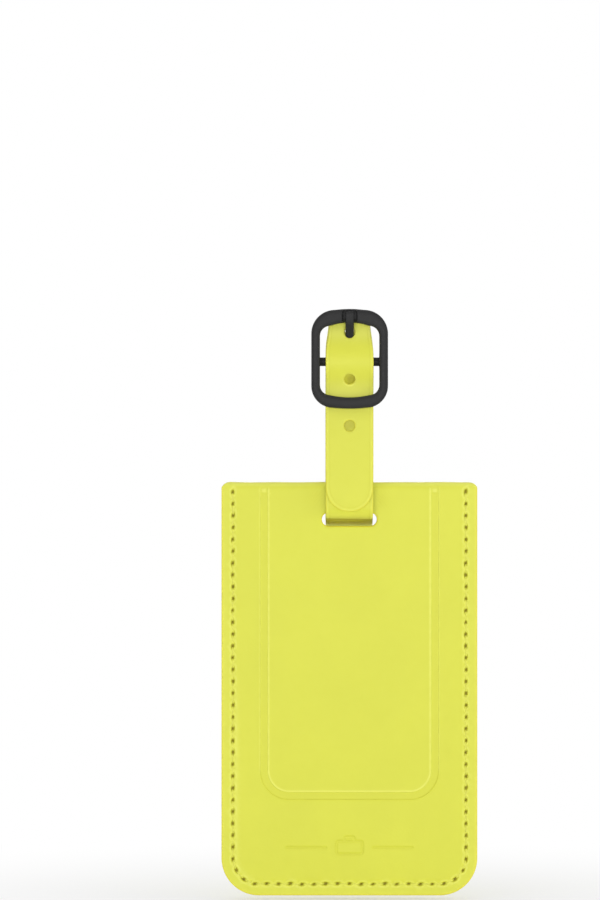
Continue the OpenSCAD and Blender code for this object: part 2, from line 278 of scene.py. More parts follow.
def seam_point(run, line):
    """(x, z, heading in degrees) at a length along a U seam that starts at the top left."""
    half, foot, top, radius = line
    side, turn, base = top - foot - radius, PI * radius / 2, 2 * (half - radius)
    if run < side:
        return -half, top - run, -90.0
    if run < side + turn:
        t = (run - side) / turn * PI / 2
        return (-half + radius - radius * math.cos(t), foot + radius - radius * math.sin(t),
                -90 + math.degrees(t))
    if run < side + turn + base:
        return -half + radius + (run - side - turn), foot, 0.0
    if run < side + 2 * turn + base:
        t = (run - side - turn - base) / turn * PI / 2
        return (half - radius + radius * math.sin(t), foot + radius - radius * math.cos(t),
                math.degrees(t))
    return half, foot + radius + (run - side - 2 * turn - base), 90.0


def seam_needles(line):
    """(x, z, heading) of each needle hole along a seam."""
    total = seam_length(line)
    count = round(total / NEEDLE_PITCH)
    return [seam_point(min(total * i / count, total - 1e-6), line) for i in range(count + 1)]


def seam_trace(line, step):
    return np.array([seam_point(run, line)[:2] for run in np.arange(0, seam_length(line), step)])


def seam_path(x, z, line, overrun):
    """Distance to a seam line that ends a little above its top."""
    beside = u_distance(x, z, line)
    return np.where(z < line.top + overrun, np.abs(beside),
                    np.hypot(beside, z - line.top - overrun))


def pits(x, z, needles, half_long=0.80, half_wide=0.41):
    """(depth, lip, dark) of the needle holes: lozenges drawn out along the seam; dark is for
    painted shade in the holes.
    """
    tilt, reach = 11.0, 2.2
    depth, lip, dark = np.zeros(len(x)), np.zeros(len(x)), np.zeros(len(x))
    draw = np.random.RandomState(11)
    for hole_x, hole_z, heading in needles:
        shift_x, shift_z = draw.uniform(-0.07, 0.07), draw.uniform(-0.10, 0.10)
        size, turn = draw.uniform(0.86, 1.14), draw.uniform(-7, 7)
        near = (np.abs(x - hole_x) < reach) & (np.abs(z - hole_z) < reach)
        if not near.any():
            continue
        angle = math.radians(heading + tilt * math.cos(2 * math.radians(heading)) + turn)
        dx, dz = x[near] - hole_x - shift_x, z[near] - hole_z - shift_z
        along = dx * math.cos(angle) + dz * math.sin(angle)
        beside = -dx * math.sin(angle) + dz * math.cos(angle)
        out = np.sqrt((np.abs(along) / (half_long * size)) ** 1.6
                      + (np.abs(beside) / (half_wide * size)) ** 1.6)
        depth[near] = np.maximum(depth[near], 1 - smooth(0.35, 1.15, out))
        lip[near] = np.maximum(lip[near], bump(out - 1.55, 0.55))
        dark[near] = np.maximum(dark[near], 1 - smooth(0.45, 1.2, out))
    return depth, lip, dark


# ---------------------------------------------------------------- meshes
def new_object(name, verts, faces, material, attributes=None):
    """A smooth-shaded mesh object from millimetre vertices."""
    mesh = bpy.data.meshes.new(name)
    mesh.from_pydata((np.asarray(verts, float) * MM).tolist(), [], faces)
    mesh.validate()
    mesh.polygons.foreach_set("use_smooth", [True] * len(mesh.polygons))
    for key, values in (attributes or {}).items():
        attribute = mesh.attributes.new(key, "FLOAT", "POINT")
        attribute.data.foreach_set("value", np.asarray(values, np.float32))
    mesh.materials.append(material)
    ob = bpy.data.objects.new(name, mesh)
    bpy.context.scene.collection.objects.link(ob)
    return ob


def register(ob, node, body=None):
    if body:
        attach(ob, body)
    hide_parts(node)


def outward(verts, faces):
    """Turns all faces over if the closed mesh's volume comes out negative."""
    triangles = np.array([(f[0], f[i], f[i + 1]) for f in faces for i in range(1, len(f) - 1)])
    a, b, c = (verts[triangles[:, i]] for i in range(3))
    volume = np.einsum("ij,ij->i", a, np.cross(b, c)).sum()
    return [tuple(reversed(f)) for f in faces] if volume < 0 else faces


def loft(rings):
    """Vertices and faces of a capped tube through rings of equally many points."""
    count, sides = len(rings), len(rings[0])
    faces = [(i * sides + j, i * sides + (j + 1) % sides,
              (i + 1) * sides + (j + 1) % sides, (i + 1) * sides + j)
             for i in range(count - 1) for j in range(sides)]
    faces.append(tuple(range(sides))[::-1])
    faces.append(tuple(range((count - 1) * sides, count * sides)))
    return np.vstack(rings), faces


def solid(rings):
    """A loft whose faces point outwards."""
    verts, faces = loft(rings)
    return verts, outward(verts, faces)


def add_joined(name, parts, material, node, body, attributes=None):
    """One object from several closed (verts, faces) shells, each facing outwards."""
    verts, faces, base = [], [], 0
    for part_verts, part_faces in parts:
        verts.append(part_verts)
        faces += [tuple(i + base for i in f) for f in part_faces]
        base += len(part_verts)
    ob = new_object(name, np.vstack(verts), faces, material, attributes)
    mesh = bmesh.new()
    mesh.from_mesh(ob.data)
    bmesh.ops.recalc_face_normals(mesh, faces=mesh.faces)
    mesh.to_mesh(ob.data)
    mesh.free()
    register(ob, node, body)
    return ob


def skin(loops, radius, extra, rings, supports):
    """Triangulates one face of a sheet whose rims are rounded by radius.

    Returns flat points, how far each drops below the face, its depth in from the rim, the
    triangles, and (start, count) of each loop's outermost ring.
    """
    points, drops, depths, edges, rims = [], [], [], [], []
    base = 0
    for loop in loops:
        rims.append((base, len(loop)))
        for angle in np.linspace(0, PI / 2, rings):
            depth = radius * (1 - math.cos(angle))
            points.append(inset(loop, depth))
            drops.append(np.full(len(loop), radius * (1 - math.sin(angle))))
            depths.append(np.full(len(loop), depth))
            index = np.arange(base, base + len(loop))
            edges += list(zip(index.tolist(), np.roll(index, -1).tolist()))
            base += len(loop)
    # support rings keep the rim's rounding crisp
    inner = []
    if supports:
        for loop in loops:
            inner += [inset(loop, radius + 0.18), inset(loop, radius + 0.55)[::2]]
    inner = np.vstack(inner + [extra])
    inner = inner[within(loops, inner)]
    near = np.min([edge_distance(loop, *inner.T) for loop in loops], axis=0)
    inner = inner[near > radius + 0.12]
    # thin out points that nearly coincide, first come first kept
    cell = np.round(inner / 0.09).astype(np.int64)
    _, first = np.unique(cell[:, 0] * 1000003 + cell[:, 1], return_index=True)
    inner = inner[np.sort(first)]
    points = np.vstack(points + [inner])
    drops = np.concatenate(drops + [np.zeros(len(inner))])
    depths = np.concatenate(depths + [np.full(len(inner), radius)])

    vectors = [Vector(p) for p in points.tolist()]
    found, _, faces, origins, _, _ = geometry.delaunay_2d_cdt(vectors, edges, [], 0, 1e-5, True)
    # back to our own point numbers; points the triangulation added go at the end
    source = [origin[0] if len(origin) else -1 for origin in origins]
    added = [i for i, s in enumerate(source) if s < 0]
    if added:
        for k, i in enumerate(added):
            source[i] = len(points) + k
        points = np.vstack([points, [[found[i][0], found[i][1]] for i in added]])
        drops = np.concatenate([drops, np.zeros(len(added))])
        depths = np.concatenate([depths, np.full(len(added), radius)])
    triangles = np.array([[source[i] for i in f] for f in faces if len(f) == 3])
    triangles = triangles[within(loops, points[triangles].mean(1))]
    return points, drops, depths, triangles, rims


def sheet(name, outer, holes, points, place, top, bottom, material, node, r_top, r_bottom,
          step, coarse, masks=None, rings=5, body=None, side_rows=0):
    """A sheet with rounded edges, drawn flat and bent into space by place(x, y, height).

    top(x, y) and bottom(x, y) are heights. r_top and r_bottom round the rims. step spaces the
    outline, coarse the lower face's grid. masks(x, y) gives named values on the upper face.
    """
    loops = []
    for k, outline in enumerate([outer] + list(holes)):
        loop = resample(outline, step if k == 0 else min(step, 0.35))
        wanted = 1 if k == 0 else -1
        loops.append(loop[::-1] if area(loop) * wanted < 0 else loop)
    low, high = loops[0].min(0), loops[0].max(0)
    upper, drop, upper_depth, upper_tris, upper_rims = skin(loops, r_top, points, rings, True)
    lower, rise, lower_depth, lower_tris, lower_rims = skin(
        loops, r_bottom, grid(low[0], high[0], low[1], high[1], coarse), rings, False)
    split = len(upper)
    flat = np.vstack([upper, lower])
    height = np.concatenate([top(*upper.T) - drop, bottom(*lower.T) + rise])
    faces = [tuple(f) for f in upper_tris.tolist()]
    faces += [(a + split, c + split, b + split) for a, b, c in lower_tris.tolist()]
    # side walls
    for (start, count), (low_start, _) in zip(upper_rims, lower_rims):
        top_rim = np.arange(start, start + count)
        low_rim = np.arange(low_start, low_start + count) + split
        walls = [top_rim]
        for k in range(side_rows):
            share = (k + 1) / (side_rows + 1)
            walls.append(np.arange(len(flat), len(flat) + count))
            flat = np.vstack([flat, flat[top_rim]])
            between = height[top_rim] * (1 - share) + height[low_rim] * share
            height = np.concatenate([height, between])
        walls.append(low_rim)
        for above, below in zip(walls, walls[1:]):
            faces += zip(above.tolist(), below.tolist(),
                         np.roll(below, -1).tolist(), np.roll(above, -1).tolist())
    verts = place(*flat.T, height)
    end = split + len(lower)
    edge = np.ones(len(flat))
    edge[:split] = 1 - smooth(0.25, 0.98, upper_depth / r_top)
    edge[split:end] = 1 - smooth(0.25, 0.98, lower_depth / r_bottom)
    under = np.zeros(len(flat))
    under[split:end] = smooth(0.3, 1.0, lower_depth / r_bottom)
    attributes = {"edge": edge, "under": under}
    for key, values in (masks(*upper.T) if masks else {}).items():
        attributes[key] = np.zeros(len(flat))
        attributes[key][:split] = values
    attributes["along"] = flat[:, 1]
    attributes["across"] = flat[:, 0]
    ob = new_object(name, verts, outward(verts, faces), material, attributes)
    register(ob, node, body)
    return ob


THREAD_SIDES = 9


def thread_sweep(path, up, radius):
    """A closed tube of plied thread along 3-D points."""
    twist, lobes = 5.2, 0.13
    radii = np.broadcast_to(np.asarray(radius, float), (len(path),))
    heading = unit(np.gradient(path, axis=0))
    side = unit(np.cross(heading, np.broadcast_to(np.asarray(up, float), (len(path), 3))))
    up = np.cross(side, heading)
    run = np.concatenate([[0], np.cumsum(np.linalg.norm(np.diff(path, axis=0), axis=1))])
    angle = np.linspace(0, 2 * PI, THREAD_SIDES, endpoint=False)
    rings = []
    for i, point in enumerate(path):
        ring = radii[i] * (1 + lobes * np.cos(2 * (angle - twist * run[i])))
        rings.append(point + side[i] * (np.cos(angle) * ring)[:, None]
                     + up[i] * (np.sin(angle) * ring)[:, None])
    return loft(rings)


# ---------------------------------------------------------------- materials
class Shader:
    """Short hand for building the node tree of a material or world."""

    def __init__(self, owner, output="OutputMaterial"):
        self.owner = owner
        owner.use_nodes = True
        self.tree = owner.node_tree
        self.tree.nodes.clear()
        self.output = self.node(output)

    def node(self, kind, inputs=None, **props):
        node = self.tree.nodes.new("ShaderNode" + kind)
        for key, value in props.items():
            setattr(node, key, value)
        for key, value in (inputs or {}).items():
            self.set(node.inputs[key], value)
        return node

    def set(self, socket, value):
        if isinstance(value, bpy.types.NodeSocket):
            self.tree.links.new(value, socket)
        elif isinstance(value, tuple) and len(value) == 3 and socket.type == "RGBA":
            socket.default_value = value + (1.0,)
        else:
            socket.default_value = value

    def position(self):
        return self.node("TexCoord").outputs["Object"]

    def axes(self, vector):
        return self.node("SeparateXYZ", {0: vector}).outputs

    def attribute(self, name):
        return self.node("Attribute", attribute_name=name).outputs["Fac"]

    def math(self, operation, first, second=0.0):
        return self.node("Math", {0: first, 1: second}, operation=operation).outputs[0]

    def times(self, value, factor):
        return self.math("MULTIPLY", value, factor)

    def plus(self, value, amount):
        return self.math("ADD", value, amount)

    def mix(self, factor, first, second):
        node = self.node("Mix", data_type="RGBA", clamp_factor=True)
        for i, value in ((0, factor), (6, first), (7, second)):
            self.set(node.inputs[i], value)
        return node.outputs[2]

    def noise(self, vector, scale, detail=2.0, rough=0.5):
        return self.node("TexNoise", {"Scale": scale, "Detail": detail, "Roughness": rough,
                                      "Vector": vector}).outputs["Fac"]

    def cells(self, vector, scale):
        return self.node("TexVoronoi", {"Scale": scale, "Vector": vector}).outputs["Distance"]

    def ramp(self, value, start, end, low=0.0, high=1.0):
        """low at start, high at end, smooth in between."""
        return self.node("MapRange", {0: value, 1: start, 2: end, 3: low, 4: high},
                         interpolation_type="SMOOTHSTEP", clamp=True).outputs[0]

    def tone(self, value, start, end, low, high):
        """Colour that goes from low to high as the value goes from start to end."""
        return self.mix(self.ramp(value, start, end), low, high)

    def bump(self, height, distance, strength, normal=None):
        inputs = {"Strength": strength, "Distance": distance, "Height": height}
        if normal is not None:
            inputs["Normal"] = normal
        return self.node("Bump", inputs).outputs[0]

    def principled(self, **inputs):
        named = {key.replace("_", " "): value for key, value in inputs.items()}
        return self.node("BsdfPrincipled", named).outputs[0]

    def mix_shaders(self, factor, first, second):
        return self.node("MixShader", {0: factor, 1: first, 2: second}).outputs[0]

    def finish(self, surface):
        self.tree.links.new(surface, self.output.inputs[0])
        return self.owner


def new_shader(name):
    return Shader(bpy.data.materials.new(name))


def scaled(color, factor):
    return tuple(c * factor for c in color)


WHITE = (1.0, 1.0, 1.0)
LIME = (0.735, 0.752, 0.074)
LIME_EDGE = (0.88, 0.80, 0.068)
LIME_DEEP = (0.30, 0.24, 0.022)
STRAP_EDGE = (0.84, 0.79, 0.066)


def coated_leather(name, base=LIME, edge=LIME_EDGE, grain=1.0, rough=0.46):
    """Smooth coated leather: fine grain, brighter painted edges, painted shade that darkens the
    needle holes, painted highlights.
    """
    shader = new_shader(name)
    pos = shader.position()
    fine = shader.noise(pos, scale=2600.0, detail=3.0, rough=0.6)
    cells = shader.cells(pos, scale=1500.0)
    broad = shader.noise(pos, scale=55.0, detail=3.0)
    mottled = shader.noise(pos, scale=420.0)
    color = shader.tone(broad, start=0.3, end=0.7, low=scaled(base, 0.985),
                        high=scaled(base, 1.012))
    mottling = shader.times(shader.ramp(mottled, start=0.35, end=0.75), factor=0.16)
    color = shader.mix(mottling, color, scaled(base, 0.955))
    # a lighter tint for painted highlights and darker tints for painted shade
    worn = tuple(c * 1.13 + lift for c, lift in zip(base, (0.05, 0.05, 0.09)))
    shade = tuple(c * dim for c, dim in zip(base, (0.86, 0.83, 0.62)))
    for mask, tint in (("edge", edge), ("paint", edge), ("worn", worn), ("shade", shade),
                       ("pit", LIME_DEEP)):
        color = shader.mix(shader.attribute(mask), color, tint)
    height = shader.plus(shader.times(fine, factor=0.55), shader.times(cells, factor=-0.45))
    normal = shader.bump(height, distance=0.000045 * grain, strength=0.55)
    normal = shader.bump(broad, distance=0.0006, strength=0.10, normal=normal)
    # roughness varies by 0.10 from just below the given value
    roughness = shader.plus(shader.times(mottled, factor=0.10), amount=rough - 0.05)
    return shader.finish(shader.principled(
        Base_Color=color, Roughness=roughness, Normal=normal, Specular_IOR_Level=0.22))


def woven(name, warp, weft):
    """Plain weave cloth from two crossed waves in (x, z)."""
    thread_rate = 1500.0 * 2 * PI / 1000    # radians per metre
    shader = new_shader(name)
    pos = shader.position()
    axes = shader.axes(pos)
    across = shader.math("SINE", shader.times(axes[0], thread_rate))
    upright = shader.math("SINE", shader.times(axes[2], thread_rate))
    weave = shader.times(across, upright)
    jitter = shader.noise(pos, scale=900.0, detail=3.0, rough=0.6)
    mottled = shader.plus(weave, shader.times(jitter, factor=0.6))
    color = shader.tone(mottled, start=-0.6, end=1.2, low=warp, high=weft)
    normal = shader.bump(weave, distance=0.00006, strength=0.6)
    return shader.finish(shader.principled(
        Base_Color=color, Roughness=0.85, Normal=normal, Specular_IOR_Level=0.2,
        Sheen_Weight=0.15))


def thread_material(name, base):
    """Sewing thread with fine fibres and a soft sheen, and painted shade where it dips into a
    hole.
    """
    shader = new_shader(name)
    fibre = shader.noise(shader.position(), scale=5200.0, rough=0.6)
    color = shader.tone(fibre, start=0.3, end=0.75, low=scaled(base, 0.93),
                        high=scaled(base, 1.05))
    # painted shade where the thread dips into a hole
    color = shader.mix(shader.attribute("deep"), color, LIME_DEEP)
    normal = shader.bump(fibre, distance=0.00005, strength=0.6)
    return shader.finish(shader.principled(
        Base_Color=color, Roughness=0.5, Normal=normal, Specular_IOR_Level=0.4,
        Sheen_Weight=0.12))


def buckle_material(name):
    """Matt charcoal painted finish with a faint powder texture; its edges are slightly lighter, a
    painted highlight.
    """
    shader = new_shader(name)
    pos = shader.position()
    powder = shader.noise(pos, scale=3400.0, detail=3.0, rough=0.65)
    patch = shader.noise(pos, scale=160.0, detail=3.0)
    color = shader.tone(patch, start=0.3, end=0.7, low=(0.0215, 0.0215, 0.0217),
                        high=(0.025, 0.025, 0.0253))
    specks = shader.times(shader.ramp(powder, start=0.45, end=0.8), factor=0.35)
    color = shader.mix(specks, color, (0.033, 0.033, 0.0334))
    # painted highlight on the rounded edges
    edges = shader.times(shader.attribute("edge"), factor=0.25)
    color = shader.mix(edges, color, (0.052, 0.052, 0.053))
    normal = shader.bump(powder, distance=0.00006, strength=0.5)
    roughness = shader.plus(shader.times(patch, factor=0.08), amount=0.48)
    return shader.finish(shader.principled(
        Base_Color=color, Roughness=roughness, Normal=normal, Specular_IOR_Level=0.2,
        Metallic=0.0))


def foam_material(name):
    shader = new_shader(name)
    pos = shader.position()
    cells = shader.cells(pos, scale=2200.0)
    color = shader.tone(cells, start=0.1, end=0.6, low=(0.62, 0.60, 0.52),
                        high=(0.80, 0.78, 0.70))
    # the coat on the tag's cut edges also covers the foam's sides
    side = shader.math("ABSOLUTE", shader.axes(pos)[0])
    color = shader.tone(side, start=0.0290, end=0.0300, low=color, high=LIME_EDGE)
    normal = shader.bump(cells, distance=0.0001, strength=0.8)
    return shader.finish(shader.principled(Base_Color=color, Roughness=0.9, Normal=normal))


def board_material(name, dark, light):
    shader = new_shader(name)
    pos = shader.position()
    fibre = shader.noise(pos, scale=1800.0, detail=4.0, rough=0.7)
    fleck = shader.noise(pos, scale=380.0, detail=3.0, rough=0.6)
    color = shader.tone(fibre, start=0.3, end=0.75, low=dark, high=light)
    flecks = shader.times(shader.ramp(fleck, start=0.55, end=0.8), factor=0.3)
    color = shader.mix(flecks, color, scaled(dark, 0.8))
    normal = shader.bump(fibre, distance=0.00005, strength=0.6)
    return shader.finish(shader.principled(Base_Color=color, Roughness=0.8, Normal=normal))


def clear_material(name):
    """Clear sheet: mostly see-through, with a soft reflection and a few fine scuffs."""
    shader = new_shader(name)
    scuff = shader.noise(shader.position(), scale=700.0, detail=5.0, rough=0.7)
    roughness = shader.ramp(scuff, start=0.5, end=0.8, low=0.04, high=0.16)
    glossy = shader.node("BsdfGlossy", {"Color": WHITE, "Roughness": roughness})
    clear = shader.node("BsdfTransparent", {"Color": (0.955, 0.965, 0.965)})
    fresnel = shader.node("Fresnel", {"IOR": 1.45}).outputs[0]
    # the reflecting share has a small base and an upper limit
    share = shader.math("MINIMUM", shader.plus(fresnel, amount=0.02), 0.6)
    return shader.finish(shader.mix_shaders(share, clear.outputs[0], glossy.outputs[0]))


def card_material(name):
    """White card with plain ruled lines. Lengths are in metres."""
    row_pitch, row_shift = 0.009, 0.1005
    line_share = 0.018                      # half a line's width as a share of the pitch
    line_half_length = 0.0185
    lines_top, lines_bottom = -0.030, -0.078
    shader = new_shader(name)
    pos = shader.position()
    axes = shader.axes(pos)
    x, z = axes[0], axes[2]
    row = shader.math("FRACT", shader.math("DIVIDE", shader.plus(z, row_shift), row_pitch))
    off_line = shader.math("ABSOLUTE", shader.math("SUBTRACT", row, 0.5))
    line = shader.math("LESS_THAN", off_line, line_share)
    beside = shader.math("LESS_THAN", shader.math("ABSOLUTE", x), line_half_length)
    below = shader.math("LESS_THAN", z, lines_top)
    above = shader.math("GREATER_THAN", z, lines_bottom)
    ink = shader.times(shader.times(line, beside), shader.times(below, above))
    fibre = shader.noise(pos, scale=2400.0, detail=4.0, rough=0.7)
    color = shader.tone(fibre, start=0.3, end=0.75, low=(0.80, 0.80, 0.78),
                        high=(0.86, 0.86, 0.84))
    color = shader.mix(shader.times(ink, factor=0.85), color, (0.25, 0.27, 0.28))
    normal = shader.bump(fibre, distance=0.00002, strength=0.4)
    return shader.finish(shader.principled(Base_Color=color, Roughness=0.62, Normal=normal))


cover_leather = coated_leather("cover_leather")
back_leather = coated_leather("back_leather", grain=1.15, rough=0.5)
strap_leather = coated_leather("strap_leather", base=(0.738, 0.752, 0.076), edge=STRAP_EDGE,
                               rough=0.44)
strap_back_leather = coated_leather("strap_back_leather", base=(0.69, 0.70, 0.076),
                                    edge=STRAP_EDGE, rough=0.52)
flap_cloth = woven("flap_lining_cloth", warp=(0.50, 0.53, 0.10), weft=(0.63, 0.66, 0.16))
pocket_cloth = woven("pocket_lining_cloth", warp=(0.42, 0.43, 0.42), weft=(0.56, 0.57, 0.56))
thread = thread_material("sewing_thread", base=(0.80, 0.805, 0.115))
charcoal = buckle_material("charcoal_buckle")
foam = foam_material("foam")
board = board_material("stiff_board", dark=(0.38, 0.29, 0.18), light=(0.47, 0.37, 0.24))
slot_board = board_material("slot_reinforcement_board", dark=(0.55, 0.50, 0.33),
                            light=(0.64, 0.59, 0.42))
clear_window = clear_material("clear_window_sheet")
card_paper = card_material("address_card_paper")


# ---------------------------------------------------------------- front cover
# The cover is drawn flat: x across, z up the front and on over the folded top edge.
NEEDLES = seam_needles(SEAM)
FOLD_R = 1.6
FOLD_Z = TOP_Z - FOLD_R         # height of the fold's two centres
FOLD_Y = BACK_Y - FOLD_R        # their distance from the middle plane
QUARTER = PI * FOLD_R / 2
# z where the front turn, the flat top, the back turn and the back begin, and the leather's end
TURN_1 = FOLD_Z
TURN_2 = TURN_1 + QUARTER
TURN_3 = TURN_2 + 2 * FOLD_Y
TURN_4 = TURN_3 + QUARTER
COVER_END = TURN_4 + (FOLD_Z + 3.5)
REAR_SLOT_Z = TURN_4 + FOLD_Z

# the pressed U line: outer wall, width and centre line
CHANNEL = ULine(22.6, -71.1, 8.6, 7.3)
CHANNEL_W = 1.8
CHANNEL_MID = ULine(CHANNEL.half_width - CHANNEL_W / 2, CHANNEL.foot + CHANNEL_W / 2,
                    CHANNEL.top, CHANNEL.radius - CHANNEL_W / 2)
# point rows beside a visible seam
SEAM_OFFSETS = [-1.0, -0.72, -0.5, -0.36, -0.22, -0.1, 0.02, 0.14, 0.26, 0.4, 0.56, 0.8, 1.1]


def cover_place(x, z, height):
    """Front face, over the folded top edge, and a short way down the back."""
    front_turn = np.clip((z - TURN_1) / QUARTER, 0, 1) * PI / 2
    back_turn = np.clip((z - TURN_3) / QUARTER, 0, 1) * PI / 2
    radius = FOLD_R + height
    past = [z > TURN_4, z > TURN_3, z > TURN_2, z > TURN_1]
    placed_y = np.select(past, [BACK_Y + height, FOLD_Y + radius * np.sin(back_turn),
                                -FOLD_Y + (z - TURN_2), -FOLD_Y - radius * np.cos(front_turn)],
                         FRONT_Y - height)
    placed_z = np.select(past, [FOLD_Z - (z - TURN_4), FOLD_Z + radius * np.cos(back_turn),
                                TOP_Z + height, FOLD_Z + radius * np.sin(front_turn)], z)
    return np.column_stack([x, placed_y, placed_z])


def cover_outline():
    """Flat outline; the sides draw in a little where the leather folds over the top."""
    corner_r, back_draw, end_r = 1.7, 0.43, 0.8
    half = TAG_EDGE.half_width
    flat_z = np.concatenate([
        np.linspace(TAG_EDGE.foot + TAG_EDGE.radius + 1, 7.6, 90),
        np.linspace(7.75, TURN_3 + 2.6, 34),
        np.linspace(TURN_4 + 0.6, COVER_END - 0.8, 8)])
    # height seen from the front, for the rounded top corners
    front_turn = np.clip((flat_z - TURN_1) / FOLD_R, 0, PI / 2)
    back_turn = np.clip((flat_z - TURN_3) / FOLD_R, 0, PI / 2)
    z = np.where(flat_z < TURN_1, flat_z, FOLD_Z + FOLD_R * np.sin(front_turn))
    z = np.where(flat_z > TURN_3,
                 FOLD_Z + FOLD_R * np.cos(back_turn) - np.maximum(flat_z - TURN_4, 0), z)
    rise = np.clip(z - (TOP_Z - corner_r), 0, corner_r)
    draw = corner_r - np.sqrt(np.maximum(corner_r**2 - rise**2, 0))
    draw = np.where(flat_z > TURN_3, np.maximum(draw, back_draw), draw)
    right = np.column_stack([half - draw, flat_z])
    end_x, end_z = half - back_draw - end_r, COVER_END - end_r
    return np.vstack([bottom_corners(TAG_EDGE, 36), right, arc(end_x, end_z, end_r, 0, 90, 5),
                      arc(-end_x, end_z, end_r, 90, 180, 5), right[::-1] * np.array([-1, 1])])


def sign_depth(x, z):
    """The pressed suitcase sign between two short bars, 0..1."""
    soft = 0.09
    body = np.abs(box_distance(x, z, -3.3, 3.3, -84.95, -81.75, 0.45)) - 0.3
    handle = np.abs(box_distance(x, z, -1.2, 1.2, -82.2, -80.65, 0.3)) - 0.3
    handle = np.maximum(handle, -81.5 - z)
    bars = box_distance(np.abs(x), z, 5.75, 16.25, -83.65, -83.05, 0.25)
    return 1 - smooth(-soft, soft, np.minimum(np.minimum(body, handle), bars))


def channel_profile(x, z):
    """The pressed U line: floor depth 0..1 and the two raised lips."""
    depth = -u_distance(x, z, CHANNEL)      # 0 at the outer wall, CHANNEL_W at the inner one
    fade = 1 - smooth(7.7, 8.35, z)
    floor = smooth(-0.14, 0.0, depth) * (1 - smooth(CHANNEL_W, CHANNEL_W + 0.14, depth))
    lips = bump(-depth - 0.14, 0.26) + bump(depth - CHANNEL_W - 0.14, 0.26)
    return floor * fade, lips * fade


def channel_knot(x, z, width, height):
    """The raised patch across each upper end of the channel."""
    return (bell(np.abs(x) - CHANNEL_MID.half_width, width, power=4)
            * bell(z - 7.35, height, power=4))


def strap_dents(x, z):
    """Dent and fine wrinkles beside the strap, between the slot and the folded edge."""
    dent, wrinkles = np.zeros(len(x)), np.zeros(len(x))
    for side, center_x, center_z in ((-1, -7.9, 5.6), (1, 8.0, 5.3)):
        out = (x - center_x) * side
        up = z - center_z
        zone = bell(out, 2.7) * bell(up, 2.5)
        dent = dent + zone * (0.07 + 0.02 * np.clip(-out / 3, -1, 1))
        slant = out * 0.72 + up * 0.69
        wrinkles = wrinkles + zone * np.sin(slant * 2 * PI / 0.72
                                            + 1.3 * np.sin(up * 1.7)) * 0.030
    return dent, wrinkles


def cover_top(x, z):
    flat = 1 - smooth(7.2, 9.2, z)
    path = seam_path(x, z, SEAM, 0.6)
    # soft filling pillows up between the seams, the seam pulls in
    out = 0.16 * (1 - decay(-u_distance(x, z, SEAM), 3.2)) * flat
    out = out - 0.15 * bell(path, 0.62) * flat
    out = out + 0.035 * bell(path - 1.35, 0.5) * flat
    # and a little more at each needle hole than between them
    depth, lip, _ = pits(x, z, NEEDLES)
    out = out - 0.55 * depth + 0.045 * lip
    floor, lips = channel_profile(x, z)
    out = out - 0.17 * floor + 0.035 * lips + 0.10 * channel_knot(x, z, 0.62, 0.55)
    out = out - 0.15 * sign_depth(x, z)
    dent, wrinkles = strap_dents(x, z)
    out = out - dent * flat + wrinkles * flat
    # lips of the slot roll in
    radius = SLOT_HEIGHT / 2
    slot = np.hypot(np.maximum(np.abs(x) - (SLOT_LENGTH / 2 - radius), 0), z) - radius
    out = out - 0.12 * decay(slot, 0.55)
    out = out + 0.018 * wave(x, z, 3, 19) + 0.006 * wave(x, z, 5, 5)
    # the fold's own waviness
    fold = smooth(8.4, TURN_2, z) * (1 - smooth(TURN_3, TURN_4, z))
    return out + 0.05 * wave(x, z * 0.4, 9, 14) * fold


def cover_bottom(x, z):
    """The leather is thicker round the rim below the fold."""
    rim = smooth(-5.2, -4.7, u_distance(x, z, TAG_EDGE)) * (1 - smooth(7.0, 7.6, z))
    return np.where(z > TURN_3, -0.8, -0.9 - 0.9 * rim)


